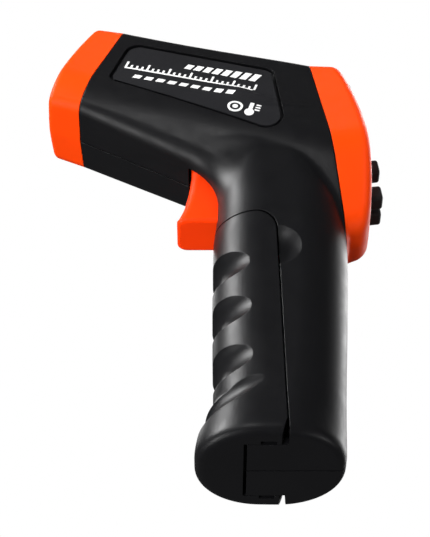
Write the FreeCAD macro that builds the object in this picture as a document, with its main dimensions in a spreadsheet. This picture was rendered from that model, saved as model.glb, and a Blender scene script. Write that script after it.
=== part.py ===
"""Pistol-grip infrared thermometer, modelled piece by piece in millimetres.

Frame: origin at the centre of the grip's base, +X forward to the nose, +Y to the
instrument's left, +Z up. Three local frames are used as well:
  nose frame   on the joint between nose ring and housing, local z along the optical axis
  rear frame   on the joint between housing and rear bezel, local x to the user's right,
               local y up the display, local z towards the user
  grip frame   the object's own frame
"""
import FreeCAD, Part

import math
import os

import Sketcher
from FreeCAD import Placement, Rotation, Vector

DIMENSIONS = {
    # head
    "noseX": 59.8, "noseZ": 124.4, "noseTilt": 18.6, "noseRing": 11.6, "noseBevel": 1.2,
    "rearX": -24.7, "rearZ": 77.8, "rearTilt": 7.5,
    "waistX": 24.0, "waistZ": 105.4, "waistTilt": 8.0,
    "headWall": 2.2,
    # grip
    "gripWall": 3.2, "gripTop": 107.0, "seamX": -5.1, "seamTopX": -3.0, "doorTop": 80.2,
    "seamGap": 0.35,
    "grooveDepth": 1.7, "groovePitch": 17.2, "grooveLow": 31.0, "grooveTube": 5.0,
    "tongueWidth": 28.0, "tongueFront": 6.8, "tongueThick": 2.6, "tongueSwing": 7.8,
    # trigger
    "triggerWidth": 16.0, "triggerBottom": 85.0, "triggerPivotX": 20.5, "triggerPivotZ": 110.5,
    "pinRadius": 1.25, "triggerClear": 0.4,
    # door hinge
    "hingeX": 0.7, "hingeZ": 4.4, "hingeRadius": 1.5, "runClear": 0.05,
    # optics, along the optical axis from the nose joint
    "axisRise": 17.0, "barrelRadius": 12.0, "hoodRadius": 10.5, "lensRadius": 10.4,
    "lensThick": 1.2, "laserRise": 17.0, "laserRadius": 3.0, "laserHole": 2.2,
    # rear bezel and display
    "bezelWall": 2.2, "windowLow": 41.0, "windowHigh": 62.5, "windowThick": 1.2,
    "boardBack": 4.6, "boardThick": 1.6, "lcdWidth": 18.4, "lcdHeight": 19.0, "lcdThick": 2.0,
    "keyWidth": 6.2, "keyHeight": 5.7, "keyTravel": 0.8, "keyPitch": 8.0,
    "keyTopRise": 32.0, "keyLowRise": 18.0, "keyTopEnd": 16.8, "keyLowEnd": 15.0, "keyGap": 0.25,
    # battery
    "batteryThick": 17.5, "batteryWidth": 26.5, "batteryBody": 46.4, "batteryBase": 9.0,
    "batteryX": 1.0,
    # fasteners and wires
    "bossRadius": 3.4, "screwRadius": 1.25, "screwHead": 2.6,
    "smallScrewRadius": 0.9, "wireRadius": 0.7,
    # labels
    "labelDepth": 0.6, "labelGroove": 0.9,
}

doc = FreeCAD.newDocument("InfraredThermometer")
sheet = doc.addObject("Spreadsheet::Sheet", "dims")
for row, (alias, size) in enumerate(DIMENSIONS.items(), start=1):
    sheet.set(f"A{row}", alias)
    sheet.set(f"B{row}", str(size))
    sheet.setAlias(f"B{row}", alias)
doc.recompute()


def dim(alias):
    """One driving dimension, read back from the sheet."""
    return float(sheet.get(alias))


def bind(feature, size, value):
    """Set a size: a string is an expression on the sheet, anything else a plain value."""
    if isinstance(value, str):
        feature.setExpression(size, value)
    else:
        setattr(feature, size, value)


# ---------------------------------------------------------------- local frames
UP = Vector(0, 0, 1)
LEFT = Vector(0, 1, 0)


def axes_placement(base, x_axis, y_axis, z_axis):
    return Placement(base, Rotation(x_axis, y_axis, z_axis, "ZXY"))


def tilted_frame(x, z, tilt):
    """Frame on a cross-joint: local x to the left, y up the joint, z forward along the head."""
    lean = math.radians(tilt)
    rise = Vector(-math.sin(lean), 0, math.cos(lean))
    ahead = Vector(math.cos(lean), 0, math.sin(lean))
    return axes_placement(Vector(x, 0, z), LEFT, rise, ahead)


NOSE = tilted_frame(dim("noseX"), dim("noseZ"), dim("noseTilt"))
WAIST = tilted_frame(dim("waistX"), dim("waistZ"), dim("waistTilt"))
REAR_FORWARD = tilted_frame(dim("rearX"), dim("rearZ"), -dim("rearTilt"))
REAR = REAR_FORWARD * Placement(Vector(), Rotation(LEFT, 180))
OPTICS = NOSE * Placement(Vector(0, dim("axisRise"), 0), Rotation())
LASER = OPTICS * Placement(Vector(0, dim("laserRise"), 0), Rotation())
SIDE = Placement(Vector(), Rotation(Vector(1, 0, 0), 90))
REAR_SIDE = REAR * Placement(Vector(), Rotation(LEFT, -90))


def along(frame, distance):
    """The same frame moved along its own z."""
    return frame * Placement(Vector(0, 0, distance), Rotation())


# ---------------------------------------------------------------- outlines
def mirrored(half):
    """A closed outline from its right half, listed from bottom to top."""
    centre = [corner for corner in half if corner[0] == 0]
    side = [corner for corner in half if corner[0] != 0]
    left = [(-x, y, r) for x, y, r in reversed(side)]
    return [centre[0], *side, *centre[1:], *left]


def rounded_box(x0, x1, y0, y1, radius):
    return [(x1, y0, radius), (x1, y1, radius), (x0, y1, radius), (x0, y0, radius)]


def inset(corners, distance):
    """A convex outline moved inwards; its corner radii shrink by the same distance."""
    least_radius = 0.4
    moved = []
    count = len(corners)
    for i, (x, y, r) in enumerate(corners):
        before = Vector(*corners[i - 1][:2], 0)
        here = Vector(x, y, 0)
        after = Vector(*corners[(i + 1) % count][:2], 0)
        arrive = (here - before).normalize()
        leave = (after - here).normalize()
        bisector = Vector(-arrive.y - leave.y, arrive.x + leave.x, 0).normalize()
        reach = distance / (bisector.x * -arrive.y + bisector.y * arrive.x)
        spot = here + bisector * reach
        moved.append((spot.x, spot.y, max(r - distance, least_radius)))
    return moved


def draw_outline(sketch, corners):
    """Straight sides and round corners; every join is held by a coincident constraint."""
    count = len(corners)
    ends = []
    for i, (x, y, r) in enumerate(corners):
        before = Vector(*corners[i - 1][:2], 0)
        here = Vector(x, y, 0)
        after = Vector(*corners[(i + 1) % count][:2], 0)
        arrive = (here - before).normalize()
        leave = (after - here).normalize()
        turn = arrive.x * leave.y - arrive.y * leave.x
        if r <= 0 or abs(turn) < 1e-6:
            ends.append((here, here, None))
            continue
        half_turn = math.atan2(abs(turn), arrive.dot(leave)) / 2
        back = r * math.tan(half_turn)
        start, stop = here - arrive * back, here + leave * back
        inward = Vector(-arrive.y, arrive.x, 0) * math.copysign(r, turn)
        centre = start + inward
        first, last = (start, stop) if turn > 0 else (stop, start)
        angles = [math.atan2(p.y - centre.y, p.x - centre.x) for p in (first, last)]
        circle = Part.Circle(centre, UP, r)
        ends.append((start, stop, (Part.ArcOfCircle(circle, *angles), turn > 0)))
    pieces = []
    for i, (start, stop, arc) in enumerate(ends):
        if arc:
            number = sketch.addGeometry(arc[0], False)
            pieces.append((number, 1, 2) if arc[1] else (number, 2, 1))
            sketch.addConstraint(Sketcher.Constraint("Radius", number, arc[0].Radius))
        following = ends[(i + 1) % count][0]
        if stop.distanceToPoint(following) > 1e-4:
            pieces.append((sketch.addGeometry(Part.LineSegment(stop, following), False), 1, 2))
    for i, piece in enumerate(pieces):
        following = pieces[(i + 1) % len(pieces)]
        joint = Sketcher.Constraint("Coincident", piece[0], piece[2], following[0], following[1])
        sketch.addConstraint(joint)
    return sketch


def section(name, frame, corners):
    """A closed outline standing free in a frame."""
    sketch = doc.addObject("Sketcher::SketchObject", name)
    sketch.Placement = frame
    return draw_outline(sketch, corners)


# ---------------------------------------------------------------- shape helpers
def loft(name, sections, ruled=True):
    made = doc.addObject("Part::Loft", name)
    made.Sections = sections
    made.Solid = True
    made.Ruled = ruled
    return made


def prism(name, frame, corners, start, length):
    """An outline in a frame's xy plane, extruded along its z from start."""
    made = doc.addObject("Part::Extrusion", name)
    made.Base = section(name + "_outline", along(frame, start), corners)
    made.DirMode = "Custom"
    made.Dir = frame.Rotation.multVec(UP)
    bind(made, "LengthFwd", length)
    made.Solid = True
    return made


def side_prism(name, corners, half_width):
    """A side-view outline (x, z) extruded symmetrically across the instrument."""
    return prism(name, SIDE, corners, -half_width, 2 * half_width)


def cylinder(name, frame, radius, start, length):
    made = doc.addObject("Part::Cylinder", name)
    bind(made, "Radius", radius)
    bind(made, "Height", length)
    made.Placement = along(frame, start)
    return made


def box(name, frame, low, high):
    made = doc.addObject("Part::Box", name)
    made.Length, made.Width, made.Height = (b - a for a, b in zip(low, high))
    made.Placement = frame * Placement(Vector(*low), Rotation())
    return made


def fuse(name, parts):
    made = doc.addObject("Part::MultiFuse", name)
    made.Shapes = parts
    return made


def cut(name, base, tools):
    made = doc.addObject("Part::Cut", name)
    made.Base = base
    made.Tool = tools[0] if len(tools) == 1 else fuse(name + "_tools", tools)
    return made


def common(name, parts):
    made = doc.addObject("Part::MultiCommon", name)
    made.Shapes = parts
    return made


GRIP = Placement()
nodes = []


def node(feature, label):
    """Name a sub-part; its label is its file name."""
    feature.Label = label
    nodes.append(feature)
    return feature


# ---------------------------------------------------------------- design bodies
def origin_plane(body, role):
    return next(plane for plane in body.Origin.OriginFeatures if plane.Role == role)


def new_body(label, frame=GRIP):
    body = doc.addObject("PartDesign::Body", label)
    body.Placement = frame
    return node(body, label)


def sketch_in(body, name, role, corners, rise=0.0):
    sketch = body.newObject("Sketcher::SketchObject", name)
    sketch.AttachmentSupport = [(origin_plane(body, role), "")]
    sketch.MapMode = "FlatFace"
    sketch.AttachmentOffset = Placement(Vector(0, 0, rise), Rotation())
    return draw_outline(sketch, corners)


def pad(body, name, corners, length, role="XY_Plane", rise=0.0, symmetric=False):
    made = body.newObject("PartDesign::Pad", name)
    made.Profile = sketch_in(body, name + "_sketch", role, corners, rise)
    bind(made, "Length", length)
    made.Midplane = symmetric
    made.Profile[0].Visibility = False
    doc.recompute()
    return made


def pocket(body, name, corners, length, role="XY_Plane", rise=0.0, symmetric=False, flip=False):
    made = body.newObject("PartDesign::Pocket", name)
    made.Profile = sketch_in(body, name + "_sketch", role, corners, rise)
    bind(made, "Length", length)
    made.Midplane = symmetric
    made.Reversed = flip
    full = body.Shape.Volume if not body.Shape.isNull() else 0
    doc.recompute()
    if made.Shape.Volume > full - 1e-6:
        raise RuntimeError(f"{name} removes nothing")
    return made


def turned(label, frame, profile):
    """A piece turned about its frame's z; the profile lists (radius, height, corner radius)."""
    body = new_body(label, frame)
    made = body.newObject("PartDesign::Revolution", label + "_turn")
    sketch = sketch_in(body, label + "_profile", "XZ_Plane", profile)
    made.Profile = sketch
    made.ReferenceAxis = (sketch, ["V_Axis"])
    made.Angle = 360
    doc.recompute()
    return body


def disc_profile(radius, low, high, edge=0.0):
    return [(0, low, 0), (radius, low, edge), (radius, high, edge), (0, high, 0)]


# ================================================================ outer form
# Half outlines (width, rise, corner radius) of the head, from its keel to its crown.
NOSE_HALF = [(0, 0, 80), (15.5, 1.0, 6), (19.0, 8.0, 10), (9.6, 42.8, 4), (0, 43.7, 60)]
TIP_HALF = [(0, 0.4, 80), (14.8, 1.3, 6), (18.2, 8.1, 10), (9.2, 41.2, 4), (0, 42.0, 60)]
WAIST_HALF = [(0, 0, 80), (14.5, 0.8, 8), (21.0, 17.0, 16), (9.8, 52.6, 4), (0, 53.5, 60)]
REAR_HALF = [(0, -0.6, 60), (11.5, 0.4, 9), (21.4, 30.0, 22), (9.9, 72.8, 4), (0, 73.7, 60)]


def head_solid(name, margin, overrun):
    """The head between its two cross-joints, moved inwards by a margin."""
    places = ((along(REAR_FORWARD, -overrun), REAR_HALF), (WAIST, WAIST_HALF),
              (along(NOSE, overrun), NOSE_HALF))
    rings = [section(f"{name}_ring{i}", frame, inset(mirrored(half), margin))
             for i, (frame, half) in enumerate(places)]
    return loft(name, rings, ruled=False)


# Grip outline by height: (height, front, back, half width, corner radius).
GRIP_RINGS = [
    (0.0, 19.2, -19.5, 19.1, 14.5), (2.4, 21.7, -22.0, 21.5, 16.5), (6.5, 21.3, -22.1, 21.4, 16.5),
    (10.6, 20.4, -22.3, 21.0, 16.5), (14.6, 18.5, -22.5, 20.6, 16), (17.6, 16.4, -22.7, 20.3, 15.5),
    (48.0, 16.6, -23.8, 20.0, 15.5), (76.0, 16.5, -24.9, 19.8, 15.5),
]
NECK_RINGS = [
    (76.0, 16.5, -24.9, 19.8, 15.5), (86.0, 15.2, -23.5, 19.4, 15), (93.0, 15.3, -22.6, 18.8, 14.5),
    (98.0, 16.8, -21.9, 18.0, 14), (102.0, 19.4, -21.3, 16.5, 12), (107.0, 24.0, -20.4, 14.0, 10),
]


def ring_stack(name, rings, margin, floor=None):
    """Rounded-rectangle rings joined by ruled walls."""
    outlines = []
    for i, (height, front, back, half, radius) in enumerate(rings):
        corners = inset(rounded_box(back, front, -half, half, radius), margin)
        level = height if floor is None or i else floor
        outlines.append(section(f"{name}_ring{i}", along(GRIP, level), corners))
    return loft(name, outlines)


wall = dim("gripWall")
head_outer = head_solid("head_outer", 0.0, 0.0)
head_inner = head_solid("head_inner", dim("headWall"), 0.5)
head_skin = head_solid("head_skin", dim("labelDepth"), 0.5)
grip_outer = ring_stack("grip_outer", GRIP_RINGS, 0.0)
neck_outer = ring_stack("neck_outer", NECK_RINGS, 0.0)
grip_inner = ring_stack("grip_inner", GRIP_RINGS[1:], wall)
neck_inner = ring_stack("neck_inner", NECK_RINGS, wall)
outer_form = fuse("outer_form", [head_outer, grip_outer, neck_outer])
inner_form = fuse("inner_form", [head_inner, grip_inner, neck_inner])

# Everything behind the rear joint belongs to the rear bezel.
behind_joint = box("behind_joint", REAR, (-30, -1.6, 0), (30, 85, 30))

# ================================================================ battery door
FAR = 60.0
slope = (dim("seamTopX") - dim("seamX")) / dim("doorTop")


def seam_at(height):
    return dim("seamX") + slope * height


def door_region(name, gap):
    """Side-view region of the door, set back from its seam by a gap."""
    top = dim("doorTop") - gap
    back_low, back_high = seam_at(0) + gap, seam_at(top) + gap
    corners = [(back_low, -5, 0), (FAR, -5, 0), (FAR, top, 0), (back_high, top, 5)]
    return side_prism(name, corners, FAR)


def grooves():
    """Three finger grooves: level rings that bite the front of the grip and run out at its sides."""
    tube = dim("grooveTube")
    ring_centre = -9.9
    inner_reach = GRIP_RINGS[6][1] - dim("grooveDepth") - ring_centre
    rings = []
    for number in range(3):
        ring = doc.addObject("Part::Torus", f"groove{number}")
        ring.Radius1 = inner_reach + tube
        bind(ring, "Radius2", "dims.grooveTube")
        height = dim("grooveLow") + number * dim("groovePitch")
        ring.Placement = Placement(Vector(ring_centre, 0, height), Rotation())
        rings.append(ring)
    return rings


tongue_half = dim("tongueWidth") / 2
gap = dim("seamGap")
hinge = Placement(Vector(dim("hingeX"), 0, dim("hingeZ")), Rotation(Vector(1, 0, 0), -90))
ear_inner, ear_outer = tongue_half - 2.6, tongue_half
arm_inner = tongue_half + gap


def hinge_arm(side):
    """The door's arm beside the tongue, with the stub that turns in the shell's ear."""
    low, high = sorted((side * arm_inner, side * 18.6))
    reach = cylinder(f"stub{side}", hinge, "dims.hingeRadius", min(side * ear_inner, side * 18.0),
                     18.0 - ear_inner)
    block = box(f"arm{side}", GRIP, (-2.0, low, 1.6), (3.6, high, 7.4))
    return [common(f"arm_in_grip{side}", [block, grip_outer]), reach]


grip_and_neck = fuse("grip_and_neck", [grip_outer, neck_outer])
door_skin = cut("door_skin", common("door_block", [grip_and_neck, door_region("door_side", gap)]),
                [grip_inner, neck_inner])
swing = cylinder("tongue_swing", hinge, "dims.tongueSwing", -tongue_half - gap, 2 * (tongue_half + gap))
notch = box("tongue_notch", GRIP, (-30, -tongue_half - gap, -5),
            (dim("tongueFront") + gap, tongue_half + gap, 3.4))
heel = side_prism("heel_clearance", [(-9, -2, 0), (-1.9, -2, 0), (-5.0, 6.6, 0), (-9, 6.6, 0)], FAR)
pockets = [box(f"hinge_pocket{side}", GRIP, (-1.3, min(side * 14.0, side * 15.5), -5),
               (2.8, max(side * 14.0, side * 15.5), 1.4)) for side in (-1, 1)]
door_cut = cut("door_cut", door_skin, [notch, swing, heel, *grooves(), *pockets])
node(fuse("door_whole", [door_cut, *hinge_arm(-1), *hinge_arm(1)]), "battery_door")

# ================================================================ housing halves
# Screws across the split: (x, z, seat of the head, end of the thread).
SCREWS = [(33.0, 118.5, -12.7, 9.0), (-7.6, 141.0, -8.0, 7.0), (-9.0, 93.0, -12.7, 9.0),
          (-16.2, 52.0, -11.0, 9.0), (-15.8, 13.0, -11.0, 9.0)]
PIN_END = 12.2


def across(x, z, rise=0.0):
    """Frame whose z runs across the instrument, to its left."""
    return Placement(Vector(x, rise, z), Rotation(Vector(1, 0, 0), -90))


def housing_half(label, side):
    """One moulded half with its screw bosses, trigger pivot, shelf and hinge tongue."""
    half_space = box(f"{label}_space", GRIP, (-120, min(0, side * 80), -20), (160, max(0, side * 80), 260))
    shell = cut(f"{label}_shell", outer_form, [inner_form])
    bosses = [cylinder(f"{label}_boss{i}", across(x, z), "dims.bossRadius", min(0, side * 40), 40.0)
              for i, (x, z, seat, end) in enumerate(SCREWS)]
    pivot_x, pivot_z = dim("triggerPivotX"), dim("triggerPivotZ")
    pivot_start = dim("triggerWidth") / 2 + dim("triggerClear")
    pivot = cylinder(f"{label}_pivot", across(pivot_x, pivot_z), 3.2,
                     side * pivot_start if side > 0 else -40.0, 40.0 - pivot_start)
    back_wall = box(f"{label}_back_wall", GRIP, (-10.2, -40, 3.0), (-8.6, 40, 64.0))
    shelf = box(f"{label}_shelf", GRIP, (-24, -40, 64.0), (12.2, 40, 65.6))
    tongue = box(f"{label}_tongue", GRIP, (seam_at(0) - 2, -tongue_half, 0.0),
                 (dim("tongueFront"), tongue_half, dim("tongueThick")))
    low, high = sorted((side * ear_inner, side * ear_outer))
    ear = box(f"{label}_ear", GRIP, (-2.4, low, 1.0), (3.8, high, 7.4))
    switch_rib = box(f"{label}_switch_rib", GRIP, (-4.2, min(side * 3, side * 30), 88.0),
                     (-2.5, max(side * 3, side * 30), 102.0))
    switch_shelf = box(f"{label}_switch_shelf", GRIP, (-4.2, -40, 89.4), (2.9, 40, 90.9))
    inside = common(f"{label}_inside",
                    [outer_form, fuse(f"{label}_features",
                                      [*bosses, pivot, back_wall, shelf, switch_rib,
                                       switch_shelf])])
    door_space = door_region(f"{label}_door_space", 0.0)
    body = cut(f"{label}_body", fuse(f"{label}_plus", [shell, inside]), [door_space])
    full = fuse(f"{label}_full", [body, tongue, ear])
    drills = []
    for i, (x, z, seat, end) in enumerate(SCREWS):
        frame = across(x, z)
        if side > 0:
            drills.append(cylinder(f"{label}_pilot{i}", frame, "dims.screwRadius + 0.05", -1, end + 2.0))
        else:
            drills.append(cylinder(f"{label}_pass{i}", frame, "dims.screwRadius + 0.25", -30, 31))
            drills.append(cylinder(f"{label}_sink{i}", frame, "dims.screwHead + 0.3", -40,
                                   40 + seat))
    slot_half = pivot_start
    slot = side_prism(f"{label}_trigger_slot",
                      [(3.0, 84.4, 1), (45, 84.4, 0), (45, 100, 0), (23.4, 104, 0), (23.4, 109, 0),
                       (3.0, 109, 0)], slot_half)
    pin_bore = cylinder(f"{label}_pin_bore", across(pivot_x, pivot_z), "dims.pinRadius", -PIN_END,
                        2 * PIN_END)
    hinge_bore = cylinder(f"{label}_hinge_bore", hinge, "dims.hingeRadius + dims.runClear", -20, 40.0)
    panel = common(f"{label}_panel", [cut(f"{label}_panel_skin", head_outer, [head_skin]),
                                      prism(f"{label}_panel_side", SIDE, PANEL, -60, 120.0)])
    whole = cut(f"{label}_cut", full, [behind_joint, slot, pin_bore, hinge_bore, panel, *drills])
    return node(common(f"{label}_half", [whole, half_space]), label)


# Side view of the label panel: (x, z, corner radius), counter-clockwise seen from the left side.
PANEL = [(50.6, 135.5, 3.0), (44.1, 157.8, 5.0), (-3.5, 145.1, 3.0), (-6.9, 109.2, 5.0)]

housing_half("housing_left", 1)
housing_half("housing_right", -1)

for side, label in ((1, "label_left"), (-1, "label_right")):
    half_space = box(f"{label}_space", GRIP, (-120, min(0, side * 80), -20), (160, max(0, side * 80), 260))
    plate = prism(f"{label}_plate", SIDE, inset(PANEL, dim("labelGroove")), -60, 120.0)
    skin = cut(f"{label}_skin", head_outer, [head_skin])
    node(common(f"{label}_piece", [skin, plate, half_space]), label)

# ================================================================ nose
tip_start = dim("noseRing") - dim("noseBevel")
front_wall = 2.2
nose_outer = loft("nose_outer", [
    section("nose_ring0", NOSE, mirrored(NOSE_HALF)),
    section("nose_ring1", along(NOSE, tip_start), mirrored(TIP_HALF)),
    section("nose_ring2", along(NOSE, dim("noseRing")), inset(mirrored(TIP_HALF), dim("noseBevel"))),
])
nose_inner = loft("nose_inner", [
    section("nose_hollow0", along(NOSE, -0.5), inset(mirrored(NOSE_HALF), dim("headWall"))),
    section("nose_hollow1", along(NOSE, dim("noseRing") - front_wall),
            inset(mirrored(TIP_HALF), dim("headWall"))),
])
mouth = cylinder("hood_mouth", OPTICS, "dims.hoodRadius", 0, 30)
laser_bore = cylinder("laser_bore", LASER, "dims.laserHole", 0, 30)
window_start = dim("noseRing") - front_wall
laser_seat = cylinder("laser_seat", LASER, 3.3, 0, window_start + 1.0)
node(cut("nose_cut", nose_outer, [nose_inner, mouth, laser_bore, laser_seat]), "nose_bezel")

barrel_front = window_start - 0.1
hood, barrel = dim("hoodRadius"), dim("barrelRadius")
turned("lens_barrel", OPTICS, [
    (barrel, -14.0, 0.5), (barrel, barrel_front, 0.3), (hood + 0.2, barrel_front, 0), (hood, -3.6, 0),
    (9.2, -3.6, 0), (4.7, -12.4, 0), (4.7, -14.0, 0),
])
turned("fresnel_lens", OPTICS, disc_profile(dim("lensRadius"), -3.6, -3.6 + dim("lensThick")))
turned("lens_retainer", OPTICS, [(9.3, -2.4, 0), (10.4, -2.4, 0), (10.4, -0.9, 0.2), (9.6, -0.9, 0.2)])
turned("thermopile", OPTICS, [
    (0, -19.4, 0), (4.6, -19.4, 0.2), (4.6, -18.6, 0.2), (4.1, -18.6, 0), (4.1, -14.9, 0.5),
    (1.6, -14.9, 0), (1.6, -15.2, 0), (0, -15.2, 0),
])
board = new_body("sensor_board", along(OPTICS, -21.2))
pad(board, "sensor_board_pad", rounded_box(-12.5, 12.5, -11, 10, 1.5), 1.6)

holder = new_body("optics_holder", along(OPTICS, -12.4))
pad(holder, "holder_plate", mirrored([(0, -13.2, 0), (10.0, -13.2, 4), (13.4, -6.0, 4), (13.4, 4.0, 4),
                                      (7.2, 21.3, 3), (0, 21.3, 0)]), 2.6)


def round_pocket(body, name, centre_y, radius, length):
    """A through hole made as a circular pocket."""
    made = body.newObject("PartDesign::Pocket", name)
    sketch = body.newObject("Sketcher::SketchObject", name + "_sketch")
    sketch.AttachmentSupport = [(origin_plane(body, "XY_Plane"), "")]
    sketch.MapMode = "FlatFace"
    circle = sketch.addGeometry(Part.Circle(Vector(0, centre_y, 0), UP, dim(radius) + 0.05), False)
    sketch.addConstraint(Sketcher.Constraint("Radius", circle, dim(radius) + 0.05))
    sketch.renameConstraint(0, "bore")
    sketch.setExpression("Constraints.bore", f"dims.{radius} + dims.runClear")
    made.Profile = sketch
    made.Length = length
    made.Reversed = True
    doc.recompute()


round_pocket(holder, "barrel_hole", 0, "barrelRadius", 5)
round_pocket(holder, "laser_hole", dim("laserRise"), "laserRadius", 5)

turned("laser_module", LASER, [
    (0, -17.0, 0), (2.2, -17.0, 0.3), (2.2, -14.5, 0), (3.0, -14.5, 0), (3.0, 1.0, 0.4),
    (1.3, 1.0, 0), (1.3, 0.2, 0), (0, 0.2, 0),
])
turned("laser_window", LASER, disc_profile(3.25, window_start, window_start + 1.0, 0.1))

# ================================================================ rear bezel
depth = 18.0
BACK = [(-6.0, -5.5, 0), (7.2, -0.9, 3.5), (9.6, 3.0, 4.0), (16.9, 38.0, 165.0), (11.6, 70.5, 4.0),
        (4.5, 76.0, 3.0), (-6.0, 76.0, 0)]


def bezel_block(name, margin, start):
    """The bezel's plug: the joint's outline drawn back, under the bowed back profile."""
    back_half = [(x * 0.93, 2.6 + y * 0.93, r) for x, y, r in REAR_HALF]
    plug = loft(name + "_plug", [
        section(name + "_plug0", along(REAR, start), inset(mirrored(REAR_HALF), margin)),
        section(name + "_plug1", along(REAR, depth), inset(mirrored(back_half), margin)),
    ])
    bow = prism(name + "_bow", REAR_SIDE, inset(BACK, margin), -40.0, 80.0)
    return common(name, [plug, bow])


window_frame = REAR * Placement(Vector(0, 51.6, 13.35), Rotation(Vector(1, 0, 0), -6.0))
WINDOW_HALF = [(0, -11.4, 0), (11.6, -11.4, 2.2), (9.3, 11.4, 2.2), (0, 11.4, 0)]
VIEW_HALF = [(0, -9.6, 0), (9.4, -9.6, 1.2), (7.9, 9.6, 1.2), (0, 9.6, 0)]
window_seat = prism("window_seat", window_frame, inset(mirrored(WINDOW_HALF), -0.12), -0.9, 8.0)
window_view = prism("window_view", window_frame, mirrored(VIEW_HALF), -6.0, 12.0)

half_pitch = dim("keyPitch") / 2
KEYS = {"key_top": (0.0, dim("keyTopRise"), "keyTopEnd"),
        "key_left": (-half_pitch, dim("keyLowRise"), "keyLowEnd"),
        "key_right": (half_pitch, dim("keyLowRise"), "keyLowEnd")}
key_x, key_y = dim("keyWidth") / 2, dim("keyHeight") / 2
key_holes = [prism(f"{name}_hole", REAR * Placement(Vector(x, y, 0), Rotation()),
                   rounded_box(-key_x - 0.25, key_x + 0.25, -key_y - 0.25, key_y + 0.25, 1.6), 2.0, 20.0)
             for name, (x, y, end) in KEYS.items()]
BOARD_SPOTS = [(-9.8, 12.9), (9.8, 12.9), (0.0, 65.2)]
bezel_outer = bezel_block("bezel_outer", 0.0, 0.0)
bezel_inner = bezel_block("bezel_inner", dim("bezelWall"), -0.5)
board_bosses = common("board_bosses", [bezel_outer, fuse("board_posts", [
    cylinder(f"board_post{i}", REAR * Placement(Vector(x, y, 0), Rotation()), 2.4,
             dim("boardBack"), 20.0) for i, (x, y) in enumerate(BOARD_SPOTS)])])
board_pilots = [cylinder(f"board_pilot{i}", REAR * Placement(Vector(x, y, 0), Rotation()),
                         "dims.smallScrewRadius + 0.05", 0, dim("boardBack") + 5.4)
                for i, (x, y) in enumerate(BOARD_SPOTS)]
bezel_shell = fuse("bezel_shell", [cut("bezel_wall", bezel_outer, [bezel_inner]), board_bosses])
node(cut("bezel_cut", bezel_shell, [window_seat, window_view, *key_holes, *board_pilots]), "rear_bezel")

pane = new_body("display_window", along(window_frame, -0.9))
pad(pane, "pane_pad", mirrored(WINDOW_HALF), "dims.windowThick")

for name, (x, y, end) in KEYS.items():
    key = new_body(name, REAR * Placement(Vector(x, y, 0), Rotation()))
    flange_x, flange_y = key_x + 0.6, key_y + 0.6
    pad(key, f"{name}_flange", rounded_box(-flange_x, flange_x, -flange_y, flange_y, 1.6), 1.0, rise=8.3)
    pad(key, f"{name}_stem", rounded_box(-key_x, key_x, -key_y, key_y, 1.4), f"dims.{end} - 8.8", rise=8.8)

# ================================================================ display electronics
BOARD = mirrored([(0, 10.0, 0), (11.5, 10.0, 2), (13.4, 36.0, 4), (8.4, 66.5, 3), (0, 68.0, 30)])
display_board = new_body("display_board", along(REAR, dim("boardBack") - dim("boardThick")))
pad(display_board, "display_board_pad", BOARD, "dims.boardThick")
for i, (x, y) in enumerate(BOARD_SPOTS):
    pocket(display_board, f"board_hole{i}", rounded_box(x - 1.1, x + 1.1, y - 1.1, y + 1.1, 1.09), 4,
           flip=True)

lcd_x, lcd_low = dim("lcdWidth") / 2, dim("windowLow") + 0.7
lcd_high = lcd_low + dim("lcdHeight")
lcd_rise = 8.4
lcd = new_body("lcd_panel", REAR)
pad(lcd, "lcd_glass", rounded_box(-lcd_x, lcd_x, lcd_low, lcd_high, 0.4), "dims.lcdThick", rise=lcd_rise)
backlight = new_body("backlight_panel", REAR)
pad(backlight, "backlight_pad", rounded_box(-lcd_x + 0.3, lcd_x - 0.3, lcd_low + 0.3, lcd_high - 0.3, 0.4),
    2.2, rise=lcd_rise - 2.4)
frame_body = new_body("lcd_frame", REAR)
pad(frame_body, "lcd_frame_pad", rounded_box(-lcd_x - 0.8, lcd_x + 0.8, lcd_low - 0.8, lcd_high + 0.8, 1),
    5.2, rise=dim("boardBack"))
pocket(frame_body, "lcd_frame_hole", rounded_box(-lcd_x - 0.05, lcd_x + 0.05, lcd_low - 0.05,
                                                 lcd_high + 0.05, 0.4), 6, rise=dim("boardBack"), flip=True)


def group(label, shapes):
    """Several separate solids of one kind in one sub-part."""
    made = doc.addObject("Part::Feature", label)
    made.Shape = Part.makeCompound(shapes)
    return node(made, label)


def solid_box(frame, low, high):
    block = Part.makeBox(*(b - a for a, b in zip(low, high)))
    block.Placement = frame * Placement(Vector(*low), Rotation())
    return block


def solid_cylinder(frame, radius, start, length):
    rod = Part.makeCylinder(radius, length)
    rod.Placement = along(frame, start)
    return rod


switches = []
for name, (x, y, end) in KEYS.items():
    spot = REAR * Placement(Vector(x, y, 0), Rotation())
    base = solid_box(spot, (-2.6, -2.4, dim("boardBack")), (2.6, 2.4, dim("boardBack") + 2.0))
    switches.append(base.fuse(solid_cylinder(spot, 1.5, dim("boardBack") + 1.9, 0.85)))
group("key_switches", switches)

board_front = dim("boardBack") - dim("boardThick")
group("board_chips", [
    solid_box(REAR, (-6.5, 24.0, board_front - 1.6), (6.5, 37.0, board_front)),
    solid_box(REAR, (-9.5, 17.5, board_front - 1.4), (-4.5, 22.0, board_front)),
    solid_box(REAR, (3.0, 17.5, board_front - 1.2), (8.0, 21.5, board_front)),
    solid_box(REAR, (-4.6, 10.4, board_front - 2.4), (4.6, 13.8, board_front)),
])
turned("buzzer", along(REAR * Placement(Vector(0, 52.0, 0), Rotation()), board_front - 4.2), [
    (0, 0, 0), (5.4, 0, 0.5), (5.4, 4.2, 0), (0, 4.2, 0)])

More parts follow.
